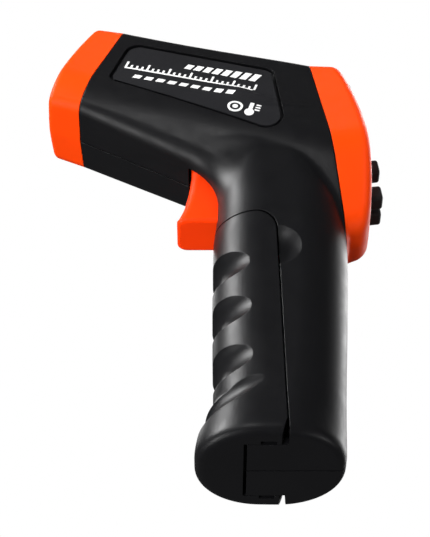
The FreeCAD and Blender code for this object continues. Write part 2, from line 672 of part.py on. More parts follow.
# ================================================================ trigger
clear = dim("triggerClear")
bottom = dim("triggerBottom")
pivot_x, pivot_z = dim("triggerPivotX"), dim("triggerPivotZ")
TRIGGER = [(27.7, bottom, 1.2), (24.0, 94.6, 22.0), (22.7, 106.5, 8), (24.0, 110.8, 2.4),
           (20.5, 113.9, 2.4), (17.0, 110.8, 2.4), (14.6, 104.5, 5), (11.0, 97.0, 5), (10.6, bottom, 1.0)]
trigger = new_body("trigger")
pad(trigger, "trigger_pad", TRIGGER, "dims.triggerWidth", role="XZ_Plane", symmetric=True)


def cross_bore(body, name, x, z, radius, width):
    """A bore across the instrument, centred on its middle plane."""
    made = body.newObject("PartDesign::Pocket", name)
    sketch = body.newObject("Sketcher::SketchObject", name + "_sketch")
    sketch.AttachmentSupport = [(origin_plane(body, "XZ_Plane"), "")]
    sketch.MapMode = "FlatFace"
    circle = sketch.addGeometry(Part.Circle(Vector(x, z, 0), UP, radius), False)
    sketch.addConstraint(Sketcher.Constraint("Radius", circle, radius))
    made.Profile = sketch
    made.Length = width
    made.Midplane = True
    doc.recompute()


cross_bore(trigger, "pivot_bore", pivot_x, pivot_z, dim("pinRadius") + dim("runClear"), 40)
# The trigger's top is a fork: two ears on the pin with the spring between them.
pocket(trigger, "spring_fork", [(9.0, 106.8, 0), (30.0, 106.8, 0), (30.0, 118.0, 0), (9.0, 118.0, 0)],
       6.4, role="XZ_Plane", symmetric=True)

pin = new_body("trigger_pin", across(pivot_x, pivot_z, -PIN_END + 0.1))
pin_turn = pin.newObject("PartDesign::Revolution", "trigger_pin_turn")
pin_sketch = sketch_in(pin, "trigger_pin_profile", "XZ_Plane",
                       disc_profile(dim("pinRadius"), 0, 2 * PIN_END - 0.2, 0.3))
pin_turn.Profile = pin_sketch
pin_turn.ReferenceAxis = (pin_sketch, ["V_Axis"])
doc.recompute()


def swept(path_edges, radius, start, heading):
    """A round wire along joined edges."""
    path = Part.Wire(path_edges)
    profile = Part.Wire([Part.makeCircle(radius, start, heading)])
    return path.makePipeShell([profile], True, False)


# A bent steel leaf between the housing's rib and the back of the trigger.
leaf_spring = new_body("trigger_spring")
pad(leaf_spring, "leaf", [(-2.4, 100.6, 0), (3.6, 103.9, 5.6), (11.1, 102.1, 0), (11.2, 102.5, 0),
                          (3.6, 104.3, 6.0), (-2.6, 100.95, 0)], 5.0, role="XZ_Plane", symmetric=True)

switch_z = 95.0
switch = new_body("trigger_switch", GRIP)
pad(switch, "switch_case", rounded_box(-2.4, 6.4, switch_z - 4, switch_z + 4, 0.5), 8.0, role="XZ_Plane",
    symmetric=True)
PLUNGER = Placement(Vector(0, 0, switch_z), Rotation(LEFT, 90))
plunger_room = switch.newObject("PartDesign::Pocket", "plunger_room")
room_sketch = switch.newObject("Sketcher::SketchObject", "plunger_room_sketch")
room_sketch.AttachmentSupport = [(origin_plane(switch, "YZ_Plane"), "")]
room_sketch.MapMode = "FlatFace"
room_sketch.addGeometry(Part.Circle(Vector(0, switch_z, 0), UP, 1.75), False)
plunger_room.Profile = room_sketch
plunger_room.Length = 20
plunger_room.Reversed = True
doc.recompute()
turned("switch_plunger", along(PLUNGER, 2.9), [(0, 0, 0), (1.6, 0, 0.1), (1.6, 7.6, 0.5), (0, 7.6, 0)])

# ================================================================ battery and wiring
cell_x, cell_base = dim("batteryX"), dim("batteryBase")
cell = new_body("battery", along(GRIP, cell_base))
half_thick, half_wide = dim("batteryThick") / 2, dim("batteryWidth") / 2
pad(cell, "battery_can", rounded_box(cell_x - half_thick, cell_x + half_thick, -half_wide, half_wide, 2.2),
    "dims.batteryBody")
cell_top = cell_base + dim("batteryBody")
POLES = (-6.35, 6.35)
group("battery_terminals", [solid_cylinder(along(Placement(Vector(cell_x, y, 0), Rotation()), cell_top),
                                           radius, 0, 2.2) for y, radius in zip(POLES, (2.9, 3.6))])
snap = new_body("battery_snap", along(GRIP, cell_top + 2.2))
pad(snap, "snap_pad", rounded_box(cell_x - 6.2, cell_x + 6.2, -12.8, 12.8, 3), 2.6)
foam = new_body("battery_foam", along(GRIP, 5.4))
pad(foam, "foam_pad", rounded_box(-7.0, 9.0, -9.5, 9.5, 0.8), 3.4)


def wire_route(label, points, radius):
    """A round wire on straight runs joined by tangent arcs."""
    edges = []
    corners = [Vector(*p) for p in points]
    start = corners[0]
    for before, here, after in zip(corners, corners[1:], corners[2:]):
        arrive, leave = (here - before).normalize(), (after - here).normalize()
        turn = arrive.getAngle(leave)
        shorter = min((here - before).Length, (after - here).Length)
        back = 0.45 * shorter
        bend = back / math.tan(turn / 2)
        enter, exit_ = here - arrive * back, here + leave * back
        middle = here + (leave - arrive).normalize() * (bend / math.cos(turn / 2) - bend)
        edges += [Part.LineSegment(start, enter).toShape(), Part.Arc(enter, middle, exit_).toShape()]
        start = exit_
        print(f"{label}: bend radius {bend:.1f}")
    edges.append(Part.LineSegment(start, corners[-1]).toShape())
    made = doc.addObject("Part::Feature", label)
    made.Shape = swept(edges, radius, corners[0], corners[1] - corners[0])
    return node(made, label)


snap_top = cell_top + 4.8
wire_radius = dim("wireRadius")
for label, side in (("battery_lead_red", 1), ("battery_lead_black", -1)):
    y = 3.4 * side
    wire_route(label, [(cell_x - 3.0, y, snap_top), (cell_x - 3.0, y, 72.0), (-11.0, y, 82.0),
                       (-14.5, y, 88.6), (-23.4, y, 89.8)], wire_radius)
cable_start, cable_bend = (OPTICS.multVec(Vector(0, -3.0, back)) for back in (-21.36, -31.9))
wire_route("sensor_cable", [tuple(cable_start), tuple(cable_bend), (8.0, 2.5, 121.6), (-8.0, 2.5, 118.8),
                            (-22.2, 2.5, 118.0)], 1.1)

# ================================================================ fasteners
def screw(radius, head, head_thick, length):
    """Pan-head self-tapping screw with a cross recess; origin under the head, z to its tip."""
    head_part = Part.makeCylinder(head, head_thick, Vector(0, 0, -head_thick))
    head_part = head_part.makeFillet(head_thick * 0.45, [head_part.Edges[2]])
    shank = Part.makeCylinder(radius, length - 2 * radius)
    tip = Part.makeCone(radius, radius * 0.25, 2 * radius, Vector(0, 0, length - 2 * radius))
    body = head_part.fuse([shank, tip])
    slot_long, slot_wide, slot_deep = head * 1.1, head * 0.26, head_thick * 0.55
    for turn in (0, 90):
        slot = Part.makeBox(slot_long, slot_wide, slot_deep * 2,
                            Vector(-slot_long / 2, -slot_wide / 2, -head_thick - slot_deep))
        slot.rotate(Vector(), UP, turn)
        body = body.cut(slot)
    return body


def placed(shape, frame):
    copy = shape.copy()
    copy.Placement = frame
    return copy


group("housing_screws", [placed(screw(dim("screwRadius"), dim("screwHead"), 1.8, end - seat),
                                across(x, z, seat)) for x, z, seat, end in SCREWS])
short_screw = screw(dim("smallScrewRadius"), 1.8, 1.2, 6.5)
group("board_screws", [placed(short_screw, REAR * Placement(Vector(x, y, board_front), Rotation()))
                       for x, y in BOARD_SPOTS])

# ================================================================ check and export
doc.recompute()
for item in doc.Objects:
    if "Invalid" in item.State or "Error" in item.State:
        raise RuntimeError(f"{item.Label} did not rebuild: {item.State}")
os.makedirs("parts", exist_ok=True)
for piece in nodes:
    shape = piece.Shape
    if shape.isNull() or not shape.isValid() or not shape.Solids:
        raise RuntimeError(f"{piece.Label} has no valid solid")
    shape.exportStep(f"parts/{piece.Label}.step")
    low, high = shape.BoundBox, shape.Volume
    print(f"{piece.Label:20s} solids {len(shape.Solids):2d} volume {high:10.1f} "
          f"x {low.XMin:6.1f}..{low.XMax:6.1f} y {low.YMin:6.1f}..{low.YMax:6.1f} z {low.ZMin:6.1f}..{low.ZMax:6.1f}")
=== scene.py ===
"""Looks of the pistol-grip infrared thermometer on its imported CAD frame.

Sizes in the shape code are millimetres in the CAD frame; Blender objects are metres.
The outer form is one smooth field, a head lofted along a bent axis and a grip, joined by
a rounded blend. It is meshed once, then cut into the moulded pieces with crisp seams.
"""
import math

import bmesh
import bpy
import numpy as np
from mathutils import Matrix, Vector


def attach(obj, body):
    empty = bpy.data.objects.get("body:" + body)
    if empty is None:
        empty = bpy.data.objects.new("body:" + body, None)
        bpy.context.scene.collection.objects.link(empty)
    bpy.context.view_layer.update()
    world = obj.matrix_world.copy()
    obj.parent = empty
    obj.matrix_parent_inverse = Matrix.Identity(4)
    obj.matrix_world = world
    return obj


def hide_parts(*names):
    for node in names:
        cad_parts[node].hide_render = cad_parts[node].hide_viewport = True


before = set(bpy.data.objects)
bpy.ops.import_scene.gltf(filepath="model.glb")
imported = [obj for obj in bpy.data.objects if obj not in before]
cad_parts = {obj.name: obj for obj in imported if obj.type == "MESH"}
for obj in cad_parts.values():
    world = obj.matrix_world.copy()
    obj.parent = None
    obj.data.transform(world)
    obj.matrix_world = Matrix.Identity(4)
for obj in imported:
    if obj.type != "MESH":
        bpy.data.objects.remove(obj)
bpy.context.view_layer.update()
scene = bpy.context.scene
MM = 0.001
# Grid steps in millimetres: of the outer form, and of the hollows inside it.
FINE = 0.55
COARSE = 1.1


# ---------------------------------------------------------------- field helpers
def smooth_table(table, at):
    """Columns of a table read at places by a curve that keeps rising or falling between rows."""
    rows = np.array(table, dtype=np.float64)
    x = rows[:, 0]
    at = np.clip(at, x[0], x[-1])
    i = np.clip(np.searchsorted(x, at, side="right") - 1, 0, len(x) - 2)
    h = np.diff(x)
    found = []
    for c in range(1, rows.shape[1]):
        y = rows[:, c]
        slopes = np.diff(y) / h
        m = np.zeros(len(x))
        m[0], m[-1] = slopes[0], slopes[-1]
        for k in range(1, len(x) - 1):
            if slopes[k - 1] * slopes[k] > 0:
                w1, w2 = 2 * h[k] + h[k - 1], h[k] + 2 * h[k - 1]
                m[k] = (w1 + w2) / (w1 / slopes[k - 1] + w2 / slopes[k])
        t = (at - x[i]) / h[i]
        t2, t3 = t * t, t * t * t
        found.append((2 * t3 - 3 * t2 + 1) * y[i] + (t3 - 2 * t2 + t) * h[i] * m[i]
                     + (-2 * t3 + 3 * t2) * y[i + 1] + (t3 - t2) * h[i] * m[i + 1])
    return found


def round_corner(a, b, radius, cosine):
    """Intersection of two walls at an angle, their edge rounded to a radius."""
    u, v = a + radius, b + radius
    free = np.maximum(1 - cosine * cosine, 1e-3)
    inside = (u > v * cosine) & (v > u * cosine) & (u + v > 0)
    arc = -radius + np.sqrt(np.maximum((u * u + v * v - 2 * u * v * cosine) / free, 0))
    return np.where(inside, arc, np.maximum(a, b))


def wall(x0, y0, x1, y1, x, y):
    """Signed distance to a line, positive on its right, and the line's outward direction."""
    dx, dy = x1 - x0, y1 - y0
    length = np.sqrt(dx * dx + dy * dy)
    nx, ny = dy / length, -dx / length
    return (x - x0) * nx + (y - y0) * ny, nx, ny


def box_blur(field, reach):
    """Separable box blur by running sums, reach cells each way."""
    for axis in range(3):
        field = np.moveaxis(field, axis, 0)
        padded = np.concatenate([field[:1].repeat(reach + 1, 0), field, field[-1:].repeat(reach, 0)])
        sums = np.cumsum(padded, axis=0, dtype=np.float64)
        width = 2 * reach + 1
        field = ((sums[width:] - sums[:-width]) / width).astype(np.float32)
        field = np.moveaxis(field, 0, axis)
    return field


# ---------------------------------------------------------------- the head
# Along the bent axis: (place, x, z, lean in degrees) at the rear joint, the waist and the nose joint.
SPINE = [(0.0, -24.7, 77.8, -7.5), (56.0, 24.0, 105.3, 8.0), (96.0, 59.8, 124.4, 18.6)]
NOSE_AT, TIP_AT = 96.0, 107.6
# Half outline by place: keel rise, then (half width, rise, corner radius) of three corners, crown rise.
OUTLINES = [
    (-18.0, 6.0, 10.7, 6.9, 9.0, 19.9, 30.5, 22.0, 9.2, 70.3, 4.0, 71.1),
    (0.0, 1.2, 11.5, 2.2, 9.0, 21.4, 30.0, 22.0, 9.9, 72.8, 4.0, 73.7),
    (56.0, 0.0, 14.5, 0.8, 8.0, 21.2, 17.0, 22.0, 9.8, 52.6, 4.0, 53.5),
    (NOSE_AT, 0.0, 15.5, 1.0, 6.0, 19.3, 8.0, 20.0, 9.8, 43.0, 4.5, 43.9),
    (TIP_AT, 0.5, 14.6, 1.4, 6.0, 18.5, 8.1, 20.0, 9.6, 41.6, 4.5, 42.4),
]


def quadratic(rows, at, column):
    """The parabola through three rows, carried on straight past both ends."""
    (t0, a), (t1, b), (t2, c) = [(row[0], row[column]) for row in rows]
    inner = np.clip(at, t0, t2)

    def value(t):
        return (a * (t - t1) * (t - t2) / ((t0 - t1) * (t0 - t2))
                + b * (t - t0) * (t - t2) / ((t1 - t0) * (t1 - t2))
                + c * (t - t0) * (t - t1) / ((t2 - t0) * (t2 - t1)))
    return value(inner), inner


def spine_at(place):
    """Origin and lean of the cross-plane at a place; past the ends it moves straight on."""
    x, inner = quadratic(SPINE, place, 1)
    z = quadratic(SPINE, place, 2)[0]
    lean = np.radians(quadratic(SPINE, place, 3)[0])
    over = place - inner
    return x + over * np.cos(lean), z + over * np.sin(lean), lean


def head_place(x, z):
    """Place along the head and rise above its keel, for points in the middle plane."""
    place = np.clip((x - SPINE[0][1]) * 1.12, -15, 110)
    for _ in range(12):
        ox, oz, lean = spine_at(place)
        place = place + ((x - ox) * np.cos(lean) + (z - oz) * np.sin(lean)) * 0.93
        place = np.clip(place, -60, 160)
    ox, oz, lean = spine_at(place)
    return place, -(x - ox) * np.sin(lean) + (z - oz) * np.cos(lean)


def outline_at(place):
    """Outline numbers at a place: a smooth curve over the housing, straight in the two caps."""
    housing = [row for row in OUTLINES if 0 <= row[0] <= NOSE_AT]
    columns = []
    for c in range(1, 12):
        mid = quadratic(housing, place, c)[0]
        rear = np.interp(place, [OUTLINES[0][0], 0.0], [OUTLINES[0][c], OUTLINES[1][c]])
        front = np.interp(place, [NOSE_AT, TIP_AT], [OUTLINES[3][c], OUTLINES[4][c]])
        columns.append(np.where(place < 0, rear, np.where(place > NOSE_AT, front, mid)))
    return columns


def head_field(y, place, rise):
    """Distance to the head's side walls, for y >= 0."""
    k, x1, s1, r1, x2, s2, r2, x3, s3, r3, top = outline_at(place)
    low, nx0, ny0 = wall(0 * k, k, x1, s1, y, rise)
    side, nx1, ny1 = wall(x1, s1, x2, s2, y, rise)
    slant, nx2, ny2 = wall(x2, s2, x3, s3, y, rise)
    crown, nx3, ny3 = wall(x3, s3, 0 * k, top, y, rise)
    keel = round_corner(low, side, r1, nx0 * nx1 + ny0 * ny1)
    roof = round_corner(slant, crown, r3, nx2 * nx3 + ny2 * ny3)
    return round_corner(keel, roof, r2, nx1 * nx2 + ny1 * ny2)


# The rear bezel's back is crowned about this rise; the two caps end in rounded edges.
BACK_MIDDLE = 40.0
BACK_EDGE, TIP_EDGE = 3.0, 1.7


def back_reach(rise, y):
    """How far the rear bezel's crowned back stands behind the joint."""
    away = rise - BACK_MIDDLE
    return 13.3 - np.where(away < 0, 0.0041, 0.0032) * away * away - 0.0022 * y * y


def tip_crown(rise, y):
    """How far the nose ring's face falls back behind the tip; its middle stands a little ahead."""
    return 0.0030 * (rise - 14.0) ** 2 + 0.0026 * y * y - 0.5


# ---------------------------------------------------------------- the grip
# By height: front, back, half width, corner radius.
COLUMN = [
    (-5.0, 16.2, -21.3, 20.3, 18.5),
    (22.0, 16.4, -22.5, 20.3, 16.0),
    (48.0, 16.6, -23.9, 20.0, 15.5),
    (76.0, 16.3, -25.0, 19.8, 15.5),
    (86.0, 15.3, -24.8, 19.9, 15.0),
    (96.0, 15.1, -23.0, 19.6, 14.5),
    (108.0, 14.3, -19.5, 18.6, 14.0),
    (116.0, 12.0, -15.0, 16.0, 12.0),
    (124.0, 8.0, -10.0, 11.0, 7.0),
]
FOOT = [
    (-5.0, 22.0, -21.8, 21.6, 19.6),
    (3.7, 21.7, -21.9, 21.5, 19.3),
    (9.2, 20.7, -22.0, 21.05, 18.4),
    (12.0, 19.8, -22.0, 20.75, 17.6),
    (14.7, 18.4, -22.0, 20.3, 16.6),
    (17.4, 16.2, -22.0, 19.5, 15.0),
    (20.4, 12.6, -21.8, 18.0, 13.0),
]
GRIP_TOP = COLUMN[-1][0]
FOOT_EDGE, BASE_EDGE = 0.35, 3.0


def rounded_column(x, y, z, table):
    """Distance to a column with round corners, its size read from a table by height."""
    front, back, half, radius = smooth_table(table, z)
    px = np.abs(x - (front + back) / 2) - ((front - back) / 2 - radius)
    py = y - (half - radius)
    outside = np.sqrt(np.maximum(px, 0) ** 2 + np.maximum(py, 0) ** 2)
    return outside + np.minimum(np.maximum(px, py), 0) - radius


def grip_field(x, y, z):
    """Distance to the grip: column and flared foot joined by a small fillet, on a flat base."""
    column = rounded_column(x, y, z, COLUMN)
    foot = rounded_column(x, y, z, FOOT)
    u, v = np.maximum(FOOT_EDGE - column, 0), np.maximum(FOOT_EDGE - foot, 0)
    both = np.maximum(np.minimum(column, foot), FOOT_EDGE) - np.sqrt(u * u + v * v)
    stem = np.where((column < FOOT_EDGE) & (foot < FOOT_EDGE), both, np.minimum(column, foot))
    base = round_corner(stem, -z, BASE_EDGE, 0.0 * z)
    return np.maximum(base, z - GRIP_TOP - 0 * x)


NECK_FILLET = 18.0


class Field:
    """The whole outer form, sampled on a grid."""

    def __init__(self, step, low, high):
        self.step = step
        self.low = np.array(low, dtype=np.float64)
        counts = [int(math.ceil((b - a) / step)) + 1 for a, b in zip(low, high)]
        xs, ys, zs = (a + step * np.arange(n) for a, n in zip(low, counts))
        plane_x, plane_z = np.meshgrid(xs, zs, indexing="ij")
        place, rise = head_place(plane_x, plane_z)
        place, rise = place[:, None, :], rise[:, None, :]
        x, y, z = xs[:, None, None], np.abs(ys)[None, :, None], zs[None, None, :]
        walls = head_field(y, place, rise)
        walls = round_corner(walls, place - TIP_AT + tip_crown(rise, y), TIP_EDGE, 0.0 * walls)
        back = (-place - back_reach(rise, y)) / np.sqrt(1 + (0.009 * (rise - BACK_MIDDLE)) ** 2)
        head = round_corner(walls, back, BACK_EDGE, 0.0 * walls)
        grip = grip_field(x, y, z + 0 * x)
        head = np.broadcast_to(head, grip.shape) if head.shape != grip.shape else head
        # The neck's fillet is full at the front and fades out towards the back.
        reach = np.interp(x, [-8.0, 8.0], [0.12, 1.0])
        self.values = self.blend(head.astype(np.float32), grip.astype(np.float32), reach + 0 * y + 0 * z)

    def blend(self, head, grip, reach):
        """Union of head and grip with a fillet that knows the angle between them."""
        slope_h = np.gradient(head, self.step)
        slope_g = np.gradient(grip, self.step)
        dot = sum(a * b for a, b in zip(slope_h, slope_g))
        size = np.sqrt(sum(a * a for a in slope_h)) * np.sqrt(sum(b * b for b in slope_g)) + 1e-6
        cosine = np.clip(box_blur(dot / size, max(1, int(round(2.0 / self.step)))), -0.6, 0.985)
        radius = NECK_FILLET * reach + 0.3
        return -round_corner(-head, -grip, radius, cosine)


def sample(field, points):
    """Value and gradient of a grid field at points, by trilinear interpolation."""
    values, step = field.values, field.step
    q = (points - field.low) / step
    top = np.array(values.shape) - 2
    i = np.clip(np.floor(q).astype(int), 0, top)
    f = q - i
    corner = {}
    for a in (0, 1):
        for b in (0, 1):
            for c in (0, 1):
                corner[a, b, c] = values[i[:, 0] + a, i[:, 1] + b, i[:, 2] + c].astype(np.float64)
    fx, fy, fz = f.T
    x0 = {(b, c): corner[0, b, c] * (1 - fx) + corner[1, b, c] * fx for b in (0, 1) for c in (0, 1)}
    dx = {(b, c): corner[1, b, c] - corner[0, b, c] for b in (0, 1) for c in (0, 1)}
    y0 = {c: x0[0, c] * (1 - fy) + x0[1, c] * fy for c in (0, 1)}
    value = y0[0] * (1 - fz) + y0[1] * fz
    gx = sum(dx[b, c] * (fy if b else 1 - fy) * (fz if c else 1 - fz) for b in (0, 1) for c in (0, 1))
    gy = (x0[1, 0] - x0[0, 0]) * (1 - fz) + (x0[1, 1] - x0[0, 1]) * fz
    gz = y0[1] - y0[0]
    return value, np.stack([gx, gy, gz], 1) / step


def surface(field, level=0.0):
    """Closed quad mesh where the field equals level: one vertex per crossed cell."""
    values = field.values - level
    shape = np.array(values.shape)
    cells = shape - 1
    total = np.zeros(cells.prod())
    sums = np.zeros((cells.prod(), 3))
    quads = []
    for axis in range(3):
        first = values.take(range(shape[axis] - 1), axis=axis)
        second = values.take(range(1, shape[axis]), axis=axis)
        found = np.argwhere((first < 0) != (second < 0))
        a = first[tuple(found.T)].astype(np.float64)
        b = second[tuple(found.T)].astype(np.float64)
        spot = found.astype(np.float64)
        spot[:, axis] += a / (a - b)
        others = [k for k in range(3) if k != axis]
        ring = []
        for da, db in ((0, 0), (1, 0), (1, 1), (0, 1)):
            cell = found.copy()
            cell[:, others[0]] -= da
            cell[:, others[1]] -= db
            ring.append(cell)
        fine = np.all([((cell >= 0) & (cell < cells)).all(1) for cell in ring], axis=0)
        flat = []
        for cell in ring:
            index = (cell[fine, 0] * cells[1] + cell[fine, 1]) * cells[2] + cell[fine, 2]
            flat.append(index)
            total += np.bincount(index, minlength=len(total))
            for c in range(3):
                sums[:, c] += np.bincount(index, weights=spot[fine, c], minlength=len(total))
        quad = np.stack(flat, 1)
        flip = (a[fine] < 0) == (axis != 1)
        quad[~flip] = quad[~flip][:, ::-1]
        quads.append(quad)
    used = np.flatnonzero(total)
    points = sums[used] / total[used, None] * field.step + field.low
    renumber = np.full(len(total), -1)
    renumber[used] = np.arange(len(used))
    faces = renumber[np.concatenate(quads)]
    for _ in range(3):
        value, slope = sample(field, points)
        points = points - slope * ((value - level) / np.maximum((slope ** 2).sum(1), 0.05))[:, None]
    return points, faces


def mesh_from(name, points, faces):
    """A mesh in millimetres from arrays; all faces have the same number of corners."""
    mesh = bpy.data.meshes.new(name)
    faces = np.asarray(faces)
    sides = faces.shape[1]
    mesh.vertices.add(len(points))
    mesh.vertices.foreach_set("co", np.asarray(points, dtype=np.float32).ravel())
    mesh.loops.add(faces.size)
    mesh.loops.foreach_set("vertex_index", faces.ravel().astype(np.int32))
    mesh.polygons.add(len(faces))
    mesh.polygons.foreach_set("loop_start", np.arange(0, faces.size, sides, dtype=np.int32))
    mesh.update(calc_edges=True)
    mesh.validate()
    return mesh


# ---------------------------------------------------------------- solids and cutting
def new_object(name, mesh):
    """An object of a mesh, in the scene."""
    piece = bpy.data.objects.new(name, mesh)
    scene.collection.objects.link(piece)
    return piece


def from_bmesh(name, bm):
    """An object of a bmesh, its faces turned outwards."""
    bmesh.ops.recalc_face_normals(bm, faces=bm.faces)
    mesh = bpy.data.meshes.new(name)
    bm.to_mesh(mesh)
    bm.free()
    return new_object(name, mesh)


def outline_points(corners, steps=7):
    """A closed outline with round corners, from (x, y, radius) listed counter-clockwise."""
    points = []
    count = len(corners)
    for i, (x, y, r) in enumerate(corners):
        here = Vector((x, y))
        arrive = (here - Vector(corners[i - 1][:2])).normalized()
        leave = (Vector(corners[(i + 1) % count][:2]) - here).normalized()
        turn = arrive.x * leave.y - arrive.y * leave.x
        if r <= 0 or abs(turn) < 1e-6:
            points.append(here)
            continue
        half = math.atan2(abs(turn), arrive.dot(leave)) / 2
        start = here - arrive * (r * math.tan(half))
        normal = Vector((-arrive.y, arrive.x)) * math.copysign(1, turn)
        centre = start + normal * r
        spoke = start - centre
        number = max(2, int(steps * half / 0.79) + 1)
        for k in range(number + 1):
            angle = math.copysign(2 * half * k / number, turn)
            points.append(centre + Matrix.Rotation(angle, 2) @ spoke)
    return points


def prism(name, corners, low, high, frame_matrix, steps=7):
    """An outline extruded from low to high along a frame's z."""
    bm = bmesh.new()
    points = outline_points(corners, steps)
    bottom = [bm.verts.new(frame_matrix @ Vector((p.x, p.y, low))) for p in points]
    top = [bm.verts.new(frame_matrix @ Vector((p.x, p.y, high))) for p in points]
    bm.faces.new(bottom[::-1])
    bm.faces.new(top)
    for i in range(len(points)):
        j = (i + 1) % len(points)
        bm.faces.new((bottom[i], bottom[j], top[j], top[i]))
    return from_bmesh(name, bm)


def turned(name, profile, frame_matrix, segments=64):
    """A closed solid turned about a frame's z from (radius, height) points."""
    bm = bmesh.new()
    rings = []
    for r, h in profile:
        if r < 1e-6:
            rings.append([bm.verts.new(frame_matrix @ Vector((0, 0, h)))])
            continue
        rings.append([bm.verts.new(frame_matrix @ Vector((r * math.cos(a), r * math.sin(a), h)))
                      for a in (2 * math.pi * k / segments for k in range(segments))])
    closed = profile[0][0] > 1e-6
    pairs = list(zip(rings, rings[1:])) + ([(rings[-1], rings[0])] if closed else [])
    for one, two in pairs:
        for k in range(segments):
            m = (k + 1) % segments
            if len(one) == 1:
                bm.faces.new((one[0], two[k], two[m]))
            elif len(two) == 1:
                bm.faces.new((one[k], one[m], two[0]))
            else:
                bm.faces.new((one[k], one[m], two[m], two[k]))
    return from_bmesh(name, bm)


def rod(name, radius, low, high, frame_matrix, segments=32):
    """A cylinder about a frame's z from low to high."""
    return turned(name, [(0, low), (radius, low), (radius, high), (0, high)], frame_matrix, segments)


def block(name, low, high, frame_matrix=Matrix.Identity(4)):
    """A block between two corners of a frame."""
    (x0, y0, z0), (x1, y1, z1) = low, high
    return prism(name, [(x0, y0, 0), (x1, y0, 0), (x1, y1, 0), (x0, y1, 0)], z0, z1, frame_matrix)


def side_block(name, side, x_range, aside, z_range):
    """A block on one side of the middle plane, aside being its two distances from that plane."""
    y0, y1 = sorted(side * y for y in aside)
    return block(name, (x_range[0], y0, z_range[0]), (x_range[1], y1, z_range[1]))


def discard(pieces):
    """Removes tools that have done their work."""
    for piece in pieces:
        mesh = piece.data
        bpy.data.objects.remove(piece)
        if mesh.users == 0:
            bpy.data.meshes.remove(mesh)


def clone(piece, name):
    return new_object(name, piece.data.copy())


def carve(piece, tools, operation="DIFFERENCE", keep=False):
    """Cuts, joins or keeps the overlap of closed solids, and applies it."""
    for tool in tools:
        change = piece.modifiers.new("cut", "BOOLEAN")
        change.operation = operation
        change.solver = "MANIFOLD"
        change.object = tool
        graph = bpy.context.evaluated_depsgraph_get()
        result = bpy.data.meshes.new_from_object(piece.evaluated_get(graph))
        piece.modifiers.clear()
        old = piece.data
        piece.data = result
        bpy.data.meshes.remove(old)
    if not keep:
        discard(tools)
    return piece


def plane_frame(x, z, lean_degrees):
    """x to the left, y up the cross-plane, z forward."""
    lean = math.radians(lean_degrees)
    rise = Vector((-math.sin(lean), 0, math.cos(lean)))
    ahead = Vector((math.cos(lean), 0, math.sin(lean)))
    turn = Matrix((Vector((0, 1, 0)), rise, ahead)).transposed()
    return Matrix.Translation(Vector((x, 0, z))) @ turn.to_4x4()


NOSE = plane_frame(*SPINE[2][1:])
REAR = plane_frame(*SPINE[0][1:]) @ Matrix.Rotation(math.pi, 4, "Y")
OPTICS = NOSE @ Matrix.Translation((0, 17.0, 0))
LASER = NOSE @ Matrix.Translation((0, 34.0, 0))
SIDE = Matrix.Rotation(math.pi / 2, 4, "X")
FAR = 90.0


# ---------------------------------------------------------------- materials
def material(name, base, roughness, metallic=0.0, **extra):
    """Principled plastic, rubber or metal with the fine unevenness of its moulding or finish."""
    made = bpy.data.materials.new(name)
    made.use_nodes = True
    nodes, links = made.node_tree.nodes, made.node_tree.links
    shader = nodes["Principled BSDF"]
    shader.inputs["Metallic"].default_value = metallic
    place = nodes.new("ShaderNodeTexCoord")

    def noise(scale, detail=3.0):
        cloud = nodes.new("ShaderNodeTexNoise")
        cloud.inputs["Scale"].default_value = scale
        cloud.inputs["Detail"].default_value = detail
        links.new(place.outputs["Object"], cloud.inputs["Vector"])
        return cloud

    tint = nodes.new("ShaderNodeValToRGB")
    spread = extra.get("spread", 0.06)
    for stop, factor in zip(tint.color_ramp.elements, (1 - spread, 1 + spread)):
        stop.color = [min(1.0, c * factor) for c in base] + [1]
    tint.color_ramp.elements[0].position, tint.color_ramp.elements[1].position = 0.35, 0.65
    links.new(noise(extra.get("mottle", 60.0)).outputs["Fac"], tint.inputs["Fac"])
    links.new(tint.outputs["Color"], shader.inputs["Base Color"])
    gloss = nodes.new("ShaderNodeMapRange")
    gloss.inputs["From Min"].default_value, gloss.inputs["From Max"].default_value = 0.3, 0.7
    gloss.inputs["To Min"].default_value = roughness * 0.9
    gloss.inputs["To Max"].default_value = roughness * 1.12
    links.new(noise(extra.get("wear", 240.0)).outputs["Fac"], gloss.inputs["Value"])
    links.new(gloss.outputs["Result"], shader.inputs["Roughness"])
    bump = nodes.new("ShaderNodeBump")
    bump.inputs["Strength"].default_value = extra.get("grain_strength", 0.12)
    bump.inputs["Distance"].default_value = extra.get("grain_depth", 0.00003)
    links.new(noise(extra.get("grain", 2600.0), 2.0).outputs["Fac"], bump.inputs["Height"])
    if extra.get("edge", 0) > 0:
        rounded = nodes.new("ShaderNodeBevel")
        rounded.samples = 6
        rounded.inputs["Radius"].default_value = extra["edge"] * MM
        links.new(rounded.outputs["Normal"], bump.inputs["Normal"])
    links.new(bump.outputs["Normal"], shader.inputs["Normal"])
    for socket, value in extra.get("sockets", {}).items():
        shader.inputs[socket].default_value = value
    return made


